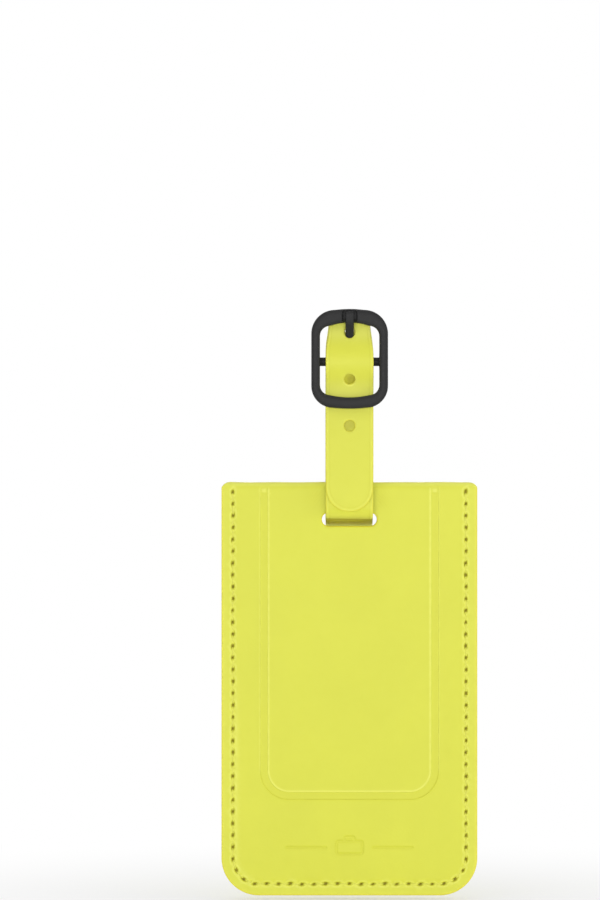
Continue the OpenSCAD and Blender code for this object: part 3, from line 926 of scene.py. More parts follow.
def cover_masks(x, z):
    _, lip, dark = pits(x, z, NEEDLES)
    floor, _ = channel_profile(x, z)
    seam = u_distance(x, z, SEAM)
    side = u_distance(x, z, CHANNEL) + CHANNEL_W / 2
    fade = 1 - smooth(7.7, 8.3, z)
    foot = 1 - smooth(CHANNEL.foot + 5.5, CHANNEL.foot + 8, z)
    # painted highlights at the needle holes' lips and in light lines on both sides of the channel,
    # broken into faint dots
    line_in = bell(side + CHANNEL_W / 2 + 0.24, 0.22) * fade
    line_out = bell(side - CHANNEL_W / 2 - 0.10, 0.18) * fade * (1 - foot)
    dots = 0.84 + 0.16 * np.sin(2 * PI * np.where(np.abs(x) > 15, z, x) / 1.15)
    worn = 0.56 * lip + line_in * np.where(foot > 0.5, 0.9, dots) + 0.60 * line_out * dots
    # a painted highlight: a lighter strip inside the lower left seam
    glow = bell(-seam - 1.05, 0.42) * (x < -24) * (1 - smooth(-58, -30, z))
    worn = worn + 0.30 * glow
    # painted highlights over the folded top edge, in faint lines beside the seam, along the rim
    # and on the channel's knots
    worn = worn + 0.55 * smooth(7.9, TURN_1 + 1.3, z) * (1 - smooth(TURN_2, TURN_3, z))
    worn = worn + 0.13 * bell(np.abs(seam) - 0.78, 0.17) * (z < SEAM.top + 0.8)
    edge = -u_distance(x, z, TAG_EDGE)
    worn = worn + 0.12 * bell(edge, 1.0) * (z < 8) + 0.8 * channel_knot(x, z, 0.6, 0.5)
    dent, wrinkles = strap_dents(x, z)
    shade = 0.13 * floor + 0.22 * sign_depth(x, z) + 0.05 * np.clip(dent / 0.12, 0, 1)
    shade = shade + np.clip(-wrinkles / 0.03, 0, 1) * 0.17
    shade = shade + 0.50 * bell(side - CHANNEL_W / 2 + 0.05, 0.12) * fade * (0.15 + 0.85 * foot)
    shade = shade + 0.07 * bell(seam, 0.6) * (z < SEAM.top + 1)
    # the coloured edge along the rim, and the same colour over the fold as a painted highlight
    rim = bell(np.maximum(edge, 0), 0.40) * (z < 8)
    fold = (smooth(TURN_1 + 0.5 * QUARTER, TURN_1 + 0.95 * QUARTER, z)
            * (1 - smooth(TURN_3, TURN_3 + 0.6 * QUARTER, z)))
    # painted shade in the needle holes
    return {"pit": dark * 0.93, "worn": np.clip(worn, 0, 1), "shade": np.clip(shade, 0, 1),
            "paint": np.clip(0.80 * rim + 0.75 * fold, 0, 1)}


def cover_points():
    """Mesh points: rows along the seam and channel, fine patches on details, coarse elsewhere."""
    half, top = SEAM.half_width, SEAM.top
    line = np.vstack([[[-half, top + rise] for rise in (0.63, 0.42, 0.21)],
                      seam_trace(SEAM, 0.21),
                      [[half, top + rise] for rise in (0.21, 0.42, 0.63)]])
    walls = [wall + d for wall in (-CHANNEL_W / 2, CHANNEL_W / 2)
             for d in (-0.85, -0.62, -0.42, -0.26, -0.14, -0.07, 0.0,
                       0.07, 0.14, 0.26, 0.42, 0.62, 0.85)]
    rows = [offset_rows(line, SEAM_OFFSETS),
            offset_rows(seam_trace(CHANNEL_MID, 0.8), walls + [0.0])]
    # fine patches: x0, x1, z0, z1, step
    fine = [grid(*patch) for patch in (
        (-4.1, 4.1, -85.8, -79.8, 0.16), (5.3, 16.7, -84.1, -82.6, 0.18),
        (-16.7, -5.3, -84.1, -82.6, 0.18), (-13.5, -3.0, 0.2, 9.0, 0.24),
        (3.0, 13.5, 0.2, 9.0, 0.24), (-9.2, 9.2, -3.4, 3.4, 0.4),
        (-22.8, -20.6, 6.4, 8.6, 0.16), (20.6, 22.8, 6.4, 8.6, 0.16),
        (-31.9, 31.9, 7.9, TURN_4 + 0.6, 0.42))]
    base = grid(-32, 32, TAG_EDGE.foot, COVER_END, 1.05)
    x, z = base.T
    keep = (np.abs(u_distance(x, z, SEAM)) > 1.25) | (z > 8)
    channel = u_distance(x, z, CHANNEL)
    keep &= ~((channel > -CHANNEL_W - 0.6) & (channel < 0.6) & (z < 8.8))
    for patch in fine:
        low, high = patch.min(0) - 0.1, patch.max(0) + 0.1
        keep &= ~((x > low[0]) & (x < high[0]) & (z > low[1]) & (z < high[1]))
    # the fold's patch leaves room for the finer ones over the dents
    fold_x, fold_z = np.abs(fine[-1][:, 0]), fine[-1][:, 1]
    fine[-1] = fine[-1][~((fold_x > 3) & (fold_x < 13.5) & (fold_z < 9.0))]
    return np.vstack(rows + fine + [base[keep]])


sheet("front_cover_leather", cover_outline(),
      [stadium(SLOT_LENGTH, SLOT_HEIGHT), stadium(SLOT_LENGTH, SLOT_HEIGHT, REAR_SLOT_Z)],
      cover_points(), cover_place, cover_top, cover_bottom, cover_leather,
      node="front_cover", r_top=0.36, r_bottom=0.14, step=0.5, coarse=2.0,
      masks=cover_masks, body="tag", side_rows=1)


# ---------------------------------------------------------------- sewing
def stitch_row(name, needles, y, facing, radius, node, dip, body="tag", doubles=0):
    """One plied stitch from each needle hole to the next, dipping into both.

    facing is the y direction the row faces; doubles counts stitches sewn twice at each end.
    """
    parts, deep = [], []
    draw = np.random.RandomState(5)
    last = len(needles) - 1
    jobs = [(i, 0.0) for i in range(last)]
    jobs += [(i, 0.2) for i in list(range(doubles)) + list(range(last - doubles, last))]
    for i, side in jobs:
        start, end = np.array(needles[i][:2]), np.array(needles[i + 1][:2])
        length = np.linalg.norm(end - start)
        heading = (end - start) / length
        normal = np.array([-heading[1], heading[0]])
        t = np.linspace(0.07, 0.93, 17)
        # slack: the middle rises, the ends turn down into the leather
        to_end = np.minimum(t, 1 - t) * length
        rise = -dip * (1 - smooth(0.28, 0.80, to_end)) + 0.03 * np.sin(PI * t)
        slant = (0.10 * (t - 0.5) + draw.uniform(-0.035, 0.035)
                 + side * (1 if i % 2 else -1) * 0.8)
        flat = start + np.outer(t * length, heading) + np.outer(slant, normal)
        path = np.column_stack([flat[:, 0], y + facing * rise, flat[:, 1]])
        radii = radius * (0.80 + 0.20 * smooth(0.1, 0.7, to_end)) * (0.85 if side else 1)
        parts.append(thread_sweep(path, (0, facing, 0), radii))
        # painted shade on the ends that dip into the holes
        deep.append(np.repeat(1 - smooth(0.30, 0.66, to_end), THREAD_SIDES))
    return add_joined(name, parts, thread, node, body,
                      {"deep": np.concatenate(deep) * 0.75})


stitch_row("seam_needle_stitches", NEEDLES, FRONT_Y + 0.17, -1, 0.20, "seam_needle_thread",
           dip=0.5, doubles=3)
stitch_row("seam_bobbin_stitches", NEEDLES, 0.35 + 0.75 - 0.12, 1, 0.17, "seam_bobbin_thread",
           dip=0.3)


# ---------------------------------------------------------------- back panel with the window
PANEL_Y = 1.1
PANEL_RIM_X = 28.6      # the panel is thicker beyond this
WINDOW = ULine(23.0, -86.0, -14.0, 4.0)
PANEL_PIT = (0.36, 0.24)


def window_top_needles():
    """Needle holes of the straight row above the window, from right to left."""
    half = WINDOW_SEAM.half_width
    count = round(2 * half / NEEDLE_PITCH)
    return [(half - 2 * half * i / count, WINDOW_SEAM.top, 180.0) for i in range(count + 1)]


WINDOW_NEEDLES = seam_needles(WINDOW_SEAM)
WINDOW_TOP_NEEDLES = window_top_needles()


def panel_pits(x, z):
    """(depth, lip, dark) of both seams' needle holes."""
    tag = pits(x, z, NEEDLES, *PANEL_PIT)
    window = pits(x, z, WINDOW_NEEDLES + WINDOW_TOP_NEEDLES, *PANEL_PIT)
    return [np.maximum(a, b) for a, b in zip(tag, window)]


def panel_top(x, z):
    half, top = WINDOW_SEAM.half_width, WINDOW_SEAM.top
    out = -0.10 * bell(u_distance(x, z, WINDOW_SEAM), 0.5) * (z < top + 0.5)
    out = out - 0.10 * bell(z - top, 0.5) * (np.abs(x) < half)
    out = out - 0.12 * bell(u_distance(x, z, SEAM), 0.55) * (z < SEAM.top + 0.5)
    depth, lip, _ = panel_pits(x, z)
    return out - 0.25 * depth + 0.02 * lip + 0.012 * wave(x, z, 21, 15)


def panel_bottom(x, z):
    return np.where((np.abs(x) > PANEL_RIM_X) | (z < TAG_EDGE.foot + 2.8), -1.45, -0.75)


def panel_masks(x, z):
    _, lip, dark = panel_pits(x, z)
    # painted shade in the needle holes, painted highlights on their lips
    return {"pit": dark * 0.85, "worn": lip * 0.3}


def window_outline():
    x, z, radius = WINDOW.half_width - WINDOW.radius, WINDOW.top - WINDOW.radius, WINDOW.radius
    return np.vstack([bottom_corners(WINDOW, 20), arc(x, z, radius, 0, 90, 20),
                      arc(-x, z, radius, 90, 180, 20)])


def slit_outline():
    """Card slit with its rounded thumb cut, as one counter-clockwise outline."""
    thumb_r = 3.9
    upper = math.degrees(math.asin(1.2 / thumb_r))
    lower = math.degrees(math.asin(0.2 / thumb_r))
    return np.vstack([
        arc(0, -7, thumb_r, 180 + lower, 360 - lower, 30),
        arc(27.4, -6.6, 0.6, -90, 0, 5), arc(27.4, -6.4, 0.6, 0, 90, 5),
        arc(0, -7, thumb_r, upper, 180 - upper, 30),
        arc(-27.4, -6.4, 0.6, 90, 180, 5), arc(-27.4, -6.6, 0.6, 180, 270, 5)])


def panel_points():
    offsets = [-0.9, -0.55, -0.36, -0.2, -0.07, 0.07, 0.2, 0.36, 0.55, 0.9]
    rows = [offset_rows(seam_trace(line, 0.3), offsets) for line in (SEAM, WINDOW_SEAM)]
    top_x = np.arange(-WINDOW_SEAM.half_width, WINDOW_SEAM.half_width, 0.3)
    top = np.column_stack([top_x, np.full(len(top_x), WINDOW_SEAM.top)])
    rows.append(offset_rows(top, offsets))
    rim_z = np.linspace(TAG_EDGE.foot + 2, 8, 220)
    rows += [np.column_stack([np.full(220, side * (PANEL_RIM_X + shift)), rim_z])
             for side in (-1, 1) for shift in (-0.06, 0.06)]
    base = grid(-32.4, 32.4, TAG_EDGE.foot, 8.4, 1.3)
    x, z = base.T
    keep = np.abs(u_distance(x, z, SEAM)) > 1.1
    keep &= (np.abs(u_distance(x, z, WINDOW_SEAM)) > 1.1) | (z > WINDOW_SEAM.top)
    keep &= np.abs(z - WINDOW_SEAM.top) > 1.1
    return np.vstack(rows + [base[keep]])


sheet("window_panel_leather", panel_outline(TAG_EDGE._replace(top=8.35)),
      [window_outline(), slit_outline(), stadium(14.3, 3.7)], panel_points(),
      lambda x, z, height: np.column_stack([x, PANEL_Y + height, z]),
      panel_top, panel_bottom, back_leather, node="window_panel",
      r_top=0.22, r_bottom=0.1, step=0.6, coarse=1.3, masks=panel_masks, body="tag", side_rows=1)
for name, needles in (("window_stitches", WINDOW_NEEDLES),
                      ("window_top_stitches", WINDOW_TOP_NEEDLES[1:-1])):
    stitch_row(name, needles, PANEL_Y - 0.08, 1, 0.17, "window_stitching", dip=0.3)


# ---------------------------------------------------------------- privacy flap
FLAP_NEEDLES = seam_needles(FLAP_SEAM)


def flap_top(x, z):
    out = -0.14 * bell(seam_path(x, z, FLAP_SEAM, 0.5), 0.6)
    out = out + (0.10 * (1 - decay(-u_distance(x, z, FLAP_SEAM), 3.0))
                 * (1 - smooth(-9, -4.2, z)))
    depth, lip, _ = pits(x, z, FLAP_NEEDLES)
    out = out - 0.42 * depth + 0.04 * lip
    # the living hinge is creased
    out = out - 0.17 * bell(z + 4.3, 0.55)
    return out + 0.02 * wave(x, z, 31, 22) + 0.006 * wave(x, z, 33, 5)


def flap_masks(x, z):
    _, lip, dark = pits(x, z, FLAP_NEEDLES)
    # painted highlights on the needle holes' lips, along the flap's edge and on the hinge; painted
    # shade in the holes, the hinge's crease and along the seam
    worn = (0.3 * lip + 0.22 * bell(u_distance(x, z, FLAP_EDGE), 0.9)
            + 0.3 * bell(z + 3.95, 0.3))
    seam = bell(u_distance(x, z, FLAP_SEAM), 0.7) * (z < FLAP_SEAM.top + 0.5)
    return {"pit": dark * 0.9, "worn": np.clip(worn, 0, 1),
            "shade": 0.35 * bell(z + 4.35, 0.4) + 0.15 * seam}


def flap_points():
    rows = [offset_rows(seam_trace(FLAP_SEAM, 0.23), SEAM_OFFSETS)]
    rows += [np.array([[side * (FLAP_SEAM.half_width - offset), FLAP_SEAM.top + 0.21 * i]
                       for i in range(1, 14) for offset in SEAM_OFFSETS]) for side in (-1, 1)]
    hinge = grid(-31.6, 31.6, -7.6, -3.6, 0.5)
    base = grid(-32, 32, FLAP_EDGE.foot, -7.7, 1.2)
    rows += [points[np.abs(u_distance(*points.T, FLAP_SEAM)) > clear]
             for points, clear in ((hinge, 1.2), (base, 1.25))]
    return np.vstack(rows)


flap_parts = [
    sheet("privacy_flap_leather", panel_outline(FLAP_EDGE), [], flap_points(),
          lambda x, z, height: np.column_stack([x, BACK_Y + height, z]),
          flap_top, lambda x, z: np.full(len(x), -0.8), back_leather, node="privacy_flap",
          r_top=0.3, r_bottom=0.06, step=0.5, coarse=1.0, masks=flap_masks,
          side_rows=1),
    sheet("flap_lining_cloth", panel_outline(FLAP_EDGE), [],
          grid(-32, 32, FLAP_EDGE.foot, FLAP_EDGE.top, 1.1),
          lambda x, z, height: np.column_stack([x, 1.2 - height, z]),
          lambda x, z: 0.01 * wave(x, z, 41, 12), lambda x, z: np.full(len(x), -0.4),
          flap_cloth, node="flap_lining", r_top=0.14, r_bottom=0.04, step=0.5,
          coarse=1.0),
    stitch_row("flap_stitches", FLAP_NEEDLES, BACK_Y - 0.16, 1, 0.19, "flap_stitching",
               dip=0.42, body=None, doubles=2)]
for flap_part in flap_parts:
    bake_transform(flap_part)


# ---------------------------------------------------------------- strap
# Its centre line lies in (y, z). From its sewn end it turns round the bar, runs down in front of
# the tag, back through the slot, up behind, and over the top turn to the free end in front.
LAYER_GAP = 0.05
LEG_Y = -4.75                   # downward leg in front of the tag
TAIL_Y, TAIL_TOP, TIP_Z = -6.0, 29.3, 2.0
TAB_Y = -3.45                   # sewn end
WRAP_R = 1.75                   # turn round the bar
PASS_Z, PASS_ANGLE, BEND_R = 0.78, math.radians(18), 2.0    # slanting pass through the slot
ARCH_LOW, ARCH_HIGH = 30.4, 50.5                            # the free end arches over the bar
ARCH_RISE = TAIL_Y - (BAR_Y - WRAP_R - 2 * STRAP_LAYER - LAYER_GAP)
TURN_Y, TURN_Z, TURN_R = -4.0, 50.5, 2.0                    # turn at the strap's top
BEND_Z = (PASS_Z + (FRONT_Y - LEG_Y - BEND_R * (1 - math.sin(PASS_ANGLE)))
          * math.tan(PASS_ANGLE) + BEND_R * math.cos(PASS_ANGLE))
REAR_IN = (3.0, PASS_Z + (FRONT_Y - 3.0) * math.tan(PASS_ANGLE))


def arch(z):
    """y and slope of the arch over the bar."""
    z = np.asarray(z, float)
    span = np.where(z > BAR_Z, ARCH_HIGH - BAR_Z, BAR_Z - ARCH_LOW)
    angle = PI * np.abs(z - BAR_Z) / span
    y = TAIL_Y - ARCH_RISE / 2 * (1 + np.cos(angle))
    return y, ARCH_RISE / 2 * np.sin(angle) * (np.where(z > BAR_Z, PI, -PI) / span)


def arch_points(start, end):
    z = np.linspace(start, end, 60)[1:]
    return np.column_stack([arch(z)[0], z])


def leg_points(z):
    """The leg follows the arch one strap thickness behind it."""
    y, slope = arch(z)
    norm = np.sqrt(1 + slope * slope)
    gap = 2 * STRAP_LAYER + LAYER_GAP
    return np.column_stack([y + gap / norm, z - gap * slope / norm])


def strap_centre():
    """The centre line from the sewn end round to the top of the free end's tail."""
    wrap_y, turn_y = BAR_Y + WRAP_R, TURN_Y + TURN_R
    line = np.vstack([
        [[TAB_Y, 28.0], [TAB_Y, 30.0]],
        bezier([TAB_Y, 32.5], [TAB_Y, 36.2], [wrap_y, 37.3], [wrap_y, BAR_Z], 40),
        arc(BAR_Y, BAR_Z, WRAP_R, 0, 180, 48)[1:],
        leg_points(np.linspace(BAR_Z, ARCH_LOW, 60)[1:]),
        [[LEG_Y, 24.0], [LEG_Y, 12.0]],
        arc(LEG_Y + BEND_R, BEND_Z, BEND_R, 180, 252, 24),
        bezier(REAR_IN, [REAR_IN[0] + 1.6, REAR_IN[1] - 1.6 * math.tan(PASS_ANGLE)],
               [6.9, -1.95], [6.6, 4.6], 50),
        bezier([6.6, 4.6], [6.35, 10], [6.7, 16], [6.7, 23], 40)[1:],
        bezier([6.7, 23], [6.7, 33], [turn_y, 40], [turn_y, TURN_Z], 50)[1:],
        arc(TURN_Y, TURN_Z, TURN_R, 0, 180, 60)[1:],
        arch_points(ARCH_HIGH, BAR_Z),
        arch_points(BAR_Z, ARCH_LOW),
        [[TAIL_Y, TAIL_TOP]],
    ])
    line = resample(line, 0.12, closed=False)
    spaced = [p for before, p in zip(line[:-1], line[1:]) if np.hypot(*(p - before)) > 0.02]
    line = np.vstack([line[0], spaced])
    for _ in range(6):
        line[1:-1] = line[1:-1] * 0.5 + (line[:-2] + line[2:]) * 0.25
    return line


CENTRE = strap_centre()
RUNS = run_lengths(CENTRE)
STRAP_LENGTH = RUNS[-1]
FACE_SIDE = -left_of(unit(np.gradient(CENTRE, axis=0)))


def run_at(y, z, low, high):
    """Run of the centre-line point nearest (y, z), between two shares of the strap's length."""
    distance = np.hypot(CENTRE[:, 0] - y, CENTRE[:, 1] - z)
    distance[(RUNS < low * STRAP_LENGTH) | (RUNS > high * STRAP_LENGTH)] = 1e9
    return float(RUNS[np.argmin(distance)])


def arch_run(z, low):
    return run_at(float(arch(z)[0]), z, low, 1.0)


TURN_RUN = run_at(TURN_Y, TURN_Z + TURN_R, 0.5, 1.0)
PRONG_RUN = arch_run(47.4, 0.7)
ARCH_LOW_RUN = arch_run(32.4, 0.8)
FOLD_START = run_at(TAB_Y, 37.4, 0.0, 0.12)
FOLD_END = run_at(BAR_Y - WRAP_R, 38.35, 0.05, 0.25)
FOOT_RUN = run_at(0.0, 0.0, 0.2, 0.6)
BEND_RUN = run_at(-2.9, 1.0, 0.05, 0.5)
HOLE_Z, TAIL_HOLE_Z, HOLE_R = 35.6, 23.8, 1.375
# round holes: one in front, two in the part behind
HOLE_RUNS = (arch_run(HOLE_Z, 0.8), run_at(-1.89, 48.44, 0.4, 0.8),
             run_at(2.35, 36.56, 0.4, 0.75))
# places on the leg behind the free end's holes
LEG_RUNS = (run_at(*leg_points(np.array([HOLE_Z]))[0], 0.05, 0.45),
            run_at(LEG_Y, TAIL_HOLE_Z, 0.05, 0.45))

ROUND_HOLES = [circle(run, HOLE_R) for run in HOLE_RUNS]
FOLD_HOLE = upright_slot(FOLD_END - FOLD_START, 2.9, (FOLD_START + FOLD_END) / 2)
# the prong's hole is drawn out on the inside, where the prong slants in
FACE_HOLES = ROUND_HOLES + [upright_slot(3.1, 2.8, PRONG_RUN + 0.05), FOLD_HOLE]
BACK_HOLES = ROUND_HOLES + [upright_slot(5.3, 2.8, PRONG_RUN + 1.20), FOLD_HOLE]
EDGE_INSETS = (0.62, 0.78, 0.95, 1.12, 1.3)


def strap_place(x, run, height):
    """Bends the strap into space; it is narrower at the top turn and in the slot."""
    y, z = (np.interp(run, RUNS, CENTRE[:, i]) for i in (0, 1))
    side_y, side_z = (np.interp(run, RUNS, FACE_SIDE[:, i]) for i in (0, 1))
    norm = np.hypot(side_y, side_z)
    half = (STRAP_HW - 0.85 * bell(run - (TURN_RUN + 0.8), 8.4, power=4)
            - 0.10 * bell(run - FOOT_RUN, 6.0, power=4))
    return np.column_stack([x * half / STRAP_HW, y + side_y / norm * height,
                            z + side_z / norm * height])


def strap_outline():
    run = np.concatenate([np.arange(0.0, STRAP_LENGTH, 0.4), [STRAP_LENGTH]])
    half = np.full(len(run), STRAP_HW)
    return np.vstack([np.column_stack([half, run]), np.column_stack([-half, run[::-1]])])


def edge_line(x, width):
    """The creased line beside each edge."""
    return bell(np.abs(x) - (STRAP_HW - 0.95), width)


def cushion(x):
    return STRAP_LAYER - 0.05 * (np.abs(x) / STRAP_HW) ** 4


def strap_top(x, run):
    out = cushion(x) - 0.035 * edge_line(x, 0.10)
    # the face stretches round the holes
    for hole in HOLE_RUNS:
        out = out - 0.10 * decay(np.hypot(x, run - hole) - HOLE_R, 0.28)
    prong_hole = np.hypot(x, np.maximum(np.abs(run - PRONG_RUN) - 0.15, 0)) - 1.4
    return out - 0.12 * decay(prong_hole, 0.3) + 0.012 * wave(x, run, 51, 9)


def strap_masks(x, run):
    rim = np.zeros(len(x))
    for hole in HOLE_RUNS:
        out = np.abs(np.hypot(x, run - hole) - HOLE_R - 0.18)
        rim = np.maximum(rim, bell(out, 0.22))
    side = smooth(STRAP_HW - 0.9, STRAP_HW - 0.3, np.abs(x))
    # painted shade on the leg where it is seen through the free end's holes: run, strength, shifts
    seen = np.zeros(len(x))
    for leg, strength, shift_x, shift_run in ((LEG_RUNS[0], 0.58, 0.45, 0.40),
                                              (LEG_RUNS[1], 0.36, -0.10, -0.45)):
        out = np.hypot(x - shift_x, run - leg - shift_run)
        seen = np.maximum(seen, strength * (1 - smooth(0.7, 2.2, out)))
    paint = 0.60 * (1 - smooth(0.05, 0.42, STRAP_HW - np.abs(x)))
    # painted highlight along the crease where the strap bends into the slot, and a lighter, warmer
    # painted tone over its shaded part inside the slot
    crease = BEND_RUN + 0.35 + 0.035 * x
    foot = bell(run - crease, np.where(run < crease, 1.5, 0.30))
    in_slot = (smooth(crease, crease + 0.5, run)
               * (1 - smooth(FOOT_RUN + 2.0, FOOT_RUN + 3.0, run)))
    # painted shade just below the crease
    seen = np.maximum(seen, 0.42 * smooth(crease + 0.1, crease + 0.4, run)
                      * (1 - smooth(crease + 0.9, crease + 1.9, run)))
    # painted highlights lighten the arch's two slopes near the frame, and the crease
    arch_and_crease_highlight = bell(run - ARCH_LOW_RUN, 2.6) + bell(run - PRONG_RUN, 2.4) + 1.3 * foot
    # painted highlights round the holes and along the edges, painted shade on the creased lines
    # beside them
    return {"pit": seen, "worn": np.clip(0.35 * rim + 0.22 * side + 0.62 * arch_and_crease_highlight, 0, 1),
            "shade": 0.30 * edge_line(x, 0.13),
            "paint": np.clip(paint + 0.5 * foot + in_slot, 0, 1)}


def backing_masks(x, run):
    # the face's painted highlights and edge colour, without its painted shade
    return {**strap_masks(x, run), "pit": np.zeros(len(x))}


def hole_rings(y):
    angle = np.linspace(0, 2 * PI, 44, endpoint=False)
    return np.vstack([np.column_stack([(1.42 + out) * np.cos(angle),
                                       y + (1.42 + out) * np.sin(angle)])
                      for out in (0.12, 0.28, 0.5, 0.85)])


def strap_points():
    start, end = 0.2, STRAP_LENGTH - 0.2
    count = int((end - start) / 0.5)
    rows = [np.column_stack([np.full(count, side * (STRAP_HW - depth)),
                             np.linspace(start, end, count)])
            for side in (-1, 1) for depth in EDGE_INSETS]
    rows.append(grid(-STRAP_HW + 1.9, STRAP_HW - 1.9, start, end, 0.62))
    rows += [hole_rings(run) for run in HOLE_RUNS]
    rows.append(grid(-STRAP_HW + 0.35, STRAP_HW - 0.35, BEND_RUN - 1.3, BEND_RUN + 1.7, 0.26))
    return np.vstack(rows)


def strap_layer(name, side, outline, holes, points, place, top, leather, node, coarse,
                masks, body=None):
    """One of the strap's two layers; side is 1 for the face and -1 for the backing."""
    return sheet(name, outline, holes, points,
                 lambda x, y, height: place(x, y, side * height), top,
                 lambda x, y: np.full(len(x), 0.0), leather, node=node,
                 r_top=0.34, r_bottom=0.05, step=0.4, coarse=coarse, masks=masks, body=body)


strap_layer("strap_face_leather", 1, strap_outline(), FACE_HOLES, strap_points(), strap_place,
            strap_top, strap_leather, "strap_face", 0.62, strap_masks, "strap")
strap_layer("strap_backing_leather", -1, strap_outline(), BACK_HOLES, strap_points(),
            strap_place, lambda x, run: cushion(x) - 0.03 * edge_line(x, 0.10),
            strap_back_leather, "strap_backing", 0.62, backing_masks, "strap")

# ---------------------------------------------------------------- strap's hanging tail
TIP_R = 5.95
TIP_CENTRE_Z = TIP_Z + TIP_R


def tail_place(x, z, height):
    return np.column_stack([x, TAIL_Y - height, z])


def tail_outline():
    z = np.linspace(TIP_Z + 6.4, TAIL_TOP, 60)
    half = TIP_R + (STRAP_HW - TIP_R) * smooth(TIP_CENTRE_Z, TIP_Z + 12, z)
    return np.vstack([arc(0, TIP_CENTRE_Z, TIP_R, 180, 360, 60), np.column_stack([half, z]),
                      np.column_stack([-half, z])[::-1]])


def tail_edge(x, z):
    """Depth in from the tail's edge."""
    return np.where(z < TIP_CENTRE_Z, TIP_R - np.hypot(x, z - TIP_Z - TIP_R),
                    STRAP_HW - np.abs(x))


def tail_cushion(x, z):
    return STRAP_LAYER - 0.05 * np.clip(1 - tail_edge(x, z) / 6, 0, 1) ** 4


def tail_top(x, z):
    out = tail_cushion(x, z) - 0.035 * bell(tail_edge(x, z) - 0.95, 0.10)
    out = out - 0.10 * decay(np.hypot(x, z - TAIL_HOLE_Z) - HOLE_R, 0.28)
    return out + 0.012 * wave(x, z, 53, 9)


def tail_masks(x, z):
    depth = tail_edge(x, z)
    rim = bell(np.abs(np.hypot(x, z - TAIL_HOLE_Z) - HOLE_R - 0.18), 0.22)
    # painted highlights round the hole and along the edge, painted shade on the creased line
    # beside it
    worn = 0.35 * rim + 0.22 * (1 - smooth(0.3, 0.9, depth))
    return {"pit": np.zeros(len(x)), "worn": np.clip(worn, 0, 1),
            "shade": 0.30 * bell(depth - 0.95, 0.13),
            "paint": 0.60 * (1 - smooth(0.05, 0.42, depth))}


def tail_points():
    loop = resample(tail_outline(), 0.4)
    inner = grid(-4.2, 4.2, TIP_Z + 1.6, 29.2, 0.62)
    return np.vstack([inset(loop, depth) for depth in EDGE_INSETS]
                     + [inner[tail_edge(*inner.T) > 1.6], hole_rings(TAIL_HOLE_Z)])


for layer, side, top, leather, slot in (
        ("face", 1, tail_top, strap_leather, "strap"),
        ("backing", -1, tail_cushion, strap_back_leather, "strap_back")):
    tail = strap_layer(f"strap_tail_{layer}_leather", side, tail_outline(),
                       [circle(TAIL_HOLE_Z, HOLE_R)], tail_points(), tail_place, top, leather,
                       f"strap_tail_{layer}", 0.7, tail_masks)
    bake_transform(tail)


def strap_end_sewing():
    """The short row that closes the strap's fold round the bar."""
    pitch, length = 2.5, 2.1
    parts = []
    for i in range(4):
        x = -3.75 + pitch * i
        t = np.linspace(0, 1, 11)
        to_end = np.minimum(t, 1 - t) * length
        path = np.column_stack([
            x - length / 2 + length * t,
            TAB_Y + STRAP_LAYER + 0.10 - 0.34 * (1 - smooth(0.02, 0.5, to_end)),
            np.full(11, 29.6) + 0.08 * (t - 0.5)])
        parts.append(thread_sweep(path, (0, 1, 0), 0.17))
    add_joined("strap_end_stitches", parts, thread, "strap_end_stitching", "strap")


strap_end_sewing()

# ---------------------------------------------------------------- buckle
NOTCH_HW, NOTCH_TOP = 1.8, 53.0


def bowed(half, bottom, top, r_bottom, r_top, bow_bottom, bow_top):
    """Rounded box whose bottom and top edges bow outwards in the middle."""
    def top_z(x):
        return top - bow_top * (x / half) ** 2

    def bottom_z(x):
        return bottom + bow_bottom * (x / half) ** 2

    low_x, high_x = half - r_bottom, half - r_top
    low_z, high_z = bottom_z(low_x) + r_bottom, top_z(high_x) - r_top
    bottom_x, top_x = np.linspace(-low_x, low_x, 31), np.linspace(high_x, -high_x, 31)
    return np.vstack([
        np.column_stack([bottom_x, bottom_z(bottom_x)])[:-1],
        arc(low_x, low_z, r_bottom, 270, 360, 24),
        arc(high_x, high_z, r_top, 0, 90, 24),
        np.column_stack([top_x, top_z(top_x)])[1:-1],
        arc(-high_x, high_z, r_top, 90, 180, 24),
        arc(-low_x, low_z, r_bottom, 180, 270, 24)[:-1]])


BUCKLE_OUTER = relax(resample(bowed(9.7, 28.1, 53.3, 5.5, 6.0, 1.2, 1.6), 0.3))
BUCKLE_INNER = relax(resample(bowed(7.5, 30.95, 49.9, 2.6, 2.6, 1.3, 2.0), 0.3))


def rim_distance(x, z):
    return np.minimum(edge_distance(BUCKLE_OUTER, x, z), edge_distance(BUCKLE_INNER, x, z))


def buckle_top(x, z):
    """Slightly crowned, with a notch for the prong that has rounded upper corners."""
    notch = 1 - smooth(-0.09, 0.09,
                       box_distance(x, z, -NOTCH_HW, NOTCH_HW, 44.0, NOTCH_TOP, 0.75))
    depth = 0.85 + 0.75 * np.clip((50.9 - z) / 1.2, 0, 1) ** 1.5
    return -depth * notch - 0.10 * (1 - smooth(0.2, 1.4, rim_distance(x, z)))


def buckle_points():
    """A grid with extra rows along the notch's sides, upper edge and corners."""
    points = [grid(-9.6, 9.6, 28.1, 53.3, 0.5)]
    side_z = np.arange(48.4, 53.2, 0.12)
    for shift in (-0.3, -0.12, -0.05, 0.05, 0.12, 0.3):
        points += [np.column_stack([np.full(len(side_z), side * (NOTCH_HW + shift)), side_z])
                   for side in (-1, 1)]
    top_x = np.arange(-2.1, 2.1, 0.12)
    points += [np.column_stack([top_x, np.full(len(top_x), z)])
               for z in (52.7, 52.88, 52.95, 53.05, 53.12)]
    angle = np.linspace(0, PI / 2, 9)
    points += [np.column_stack([side * (1.25 + radius * np.sin(angle)),
                                52.45 + radius * np.cos(angle)])
               for side in (-1, 1) for radius in (0.43, 0.5, 0.6, 0.67)]
    return np.vstack(points)


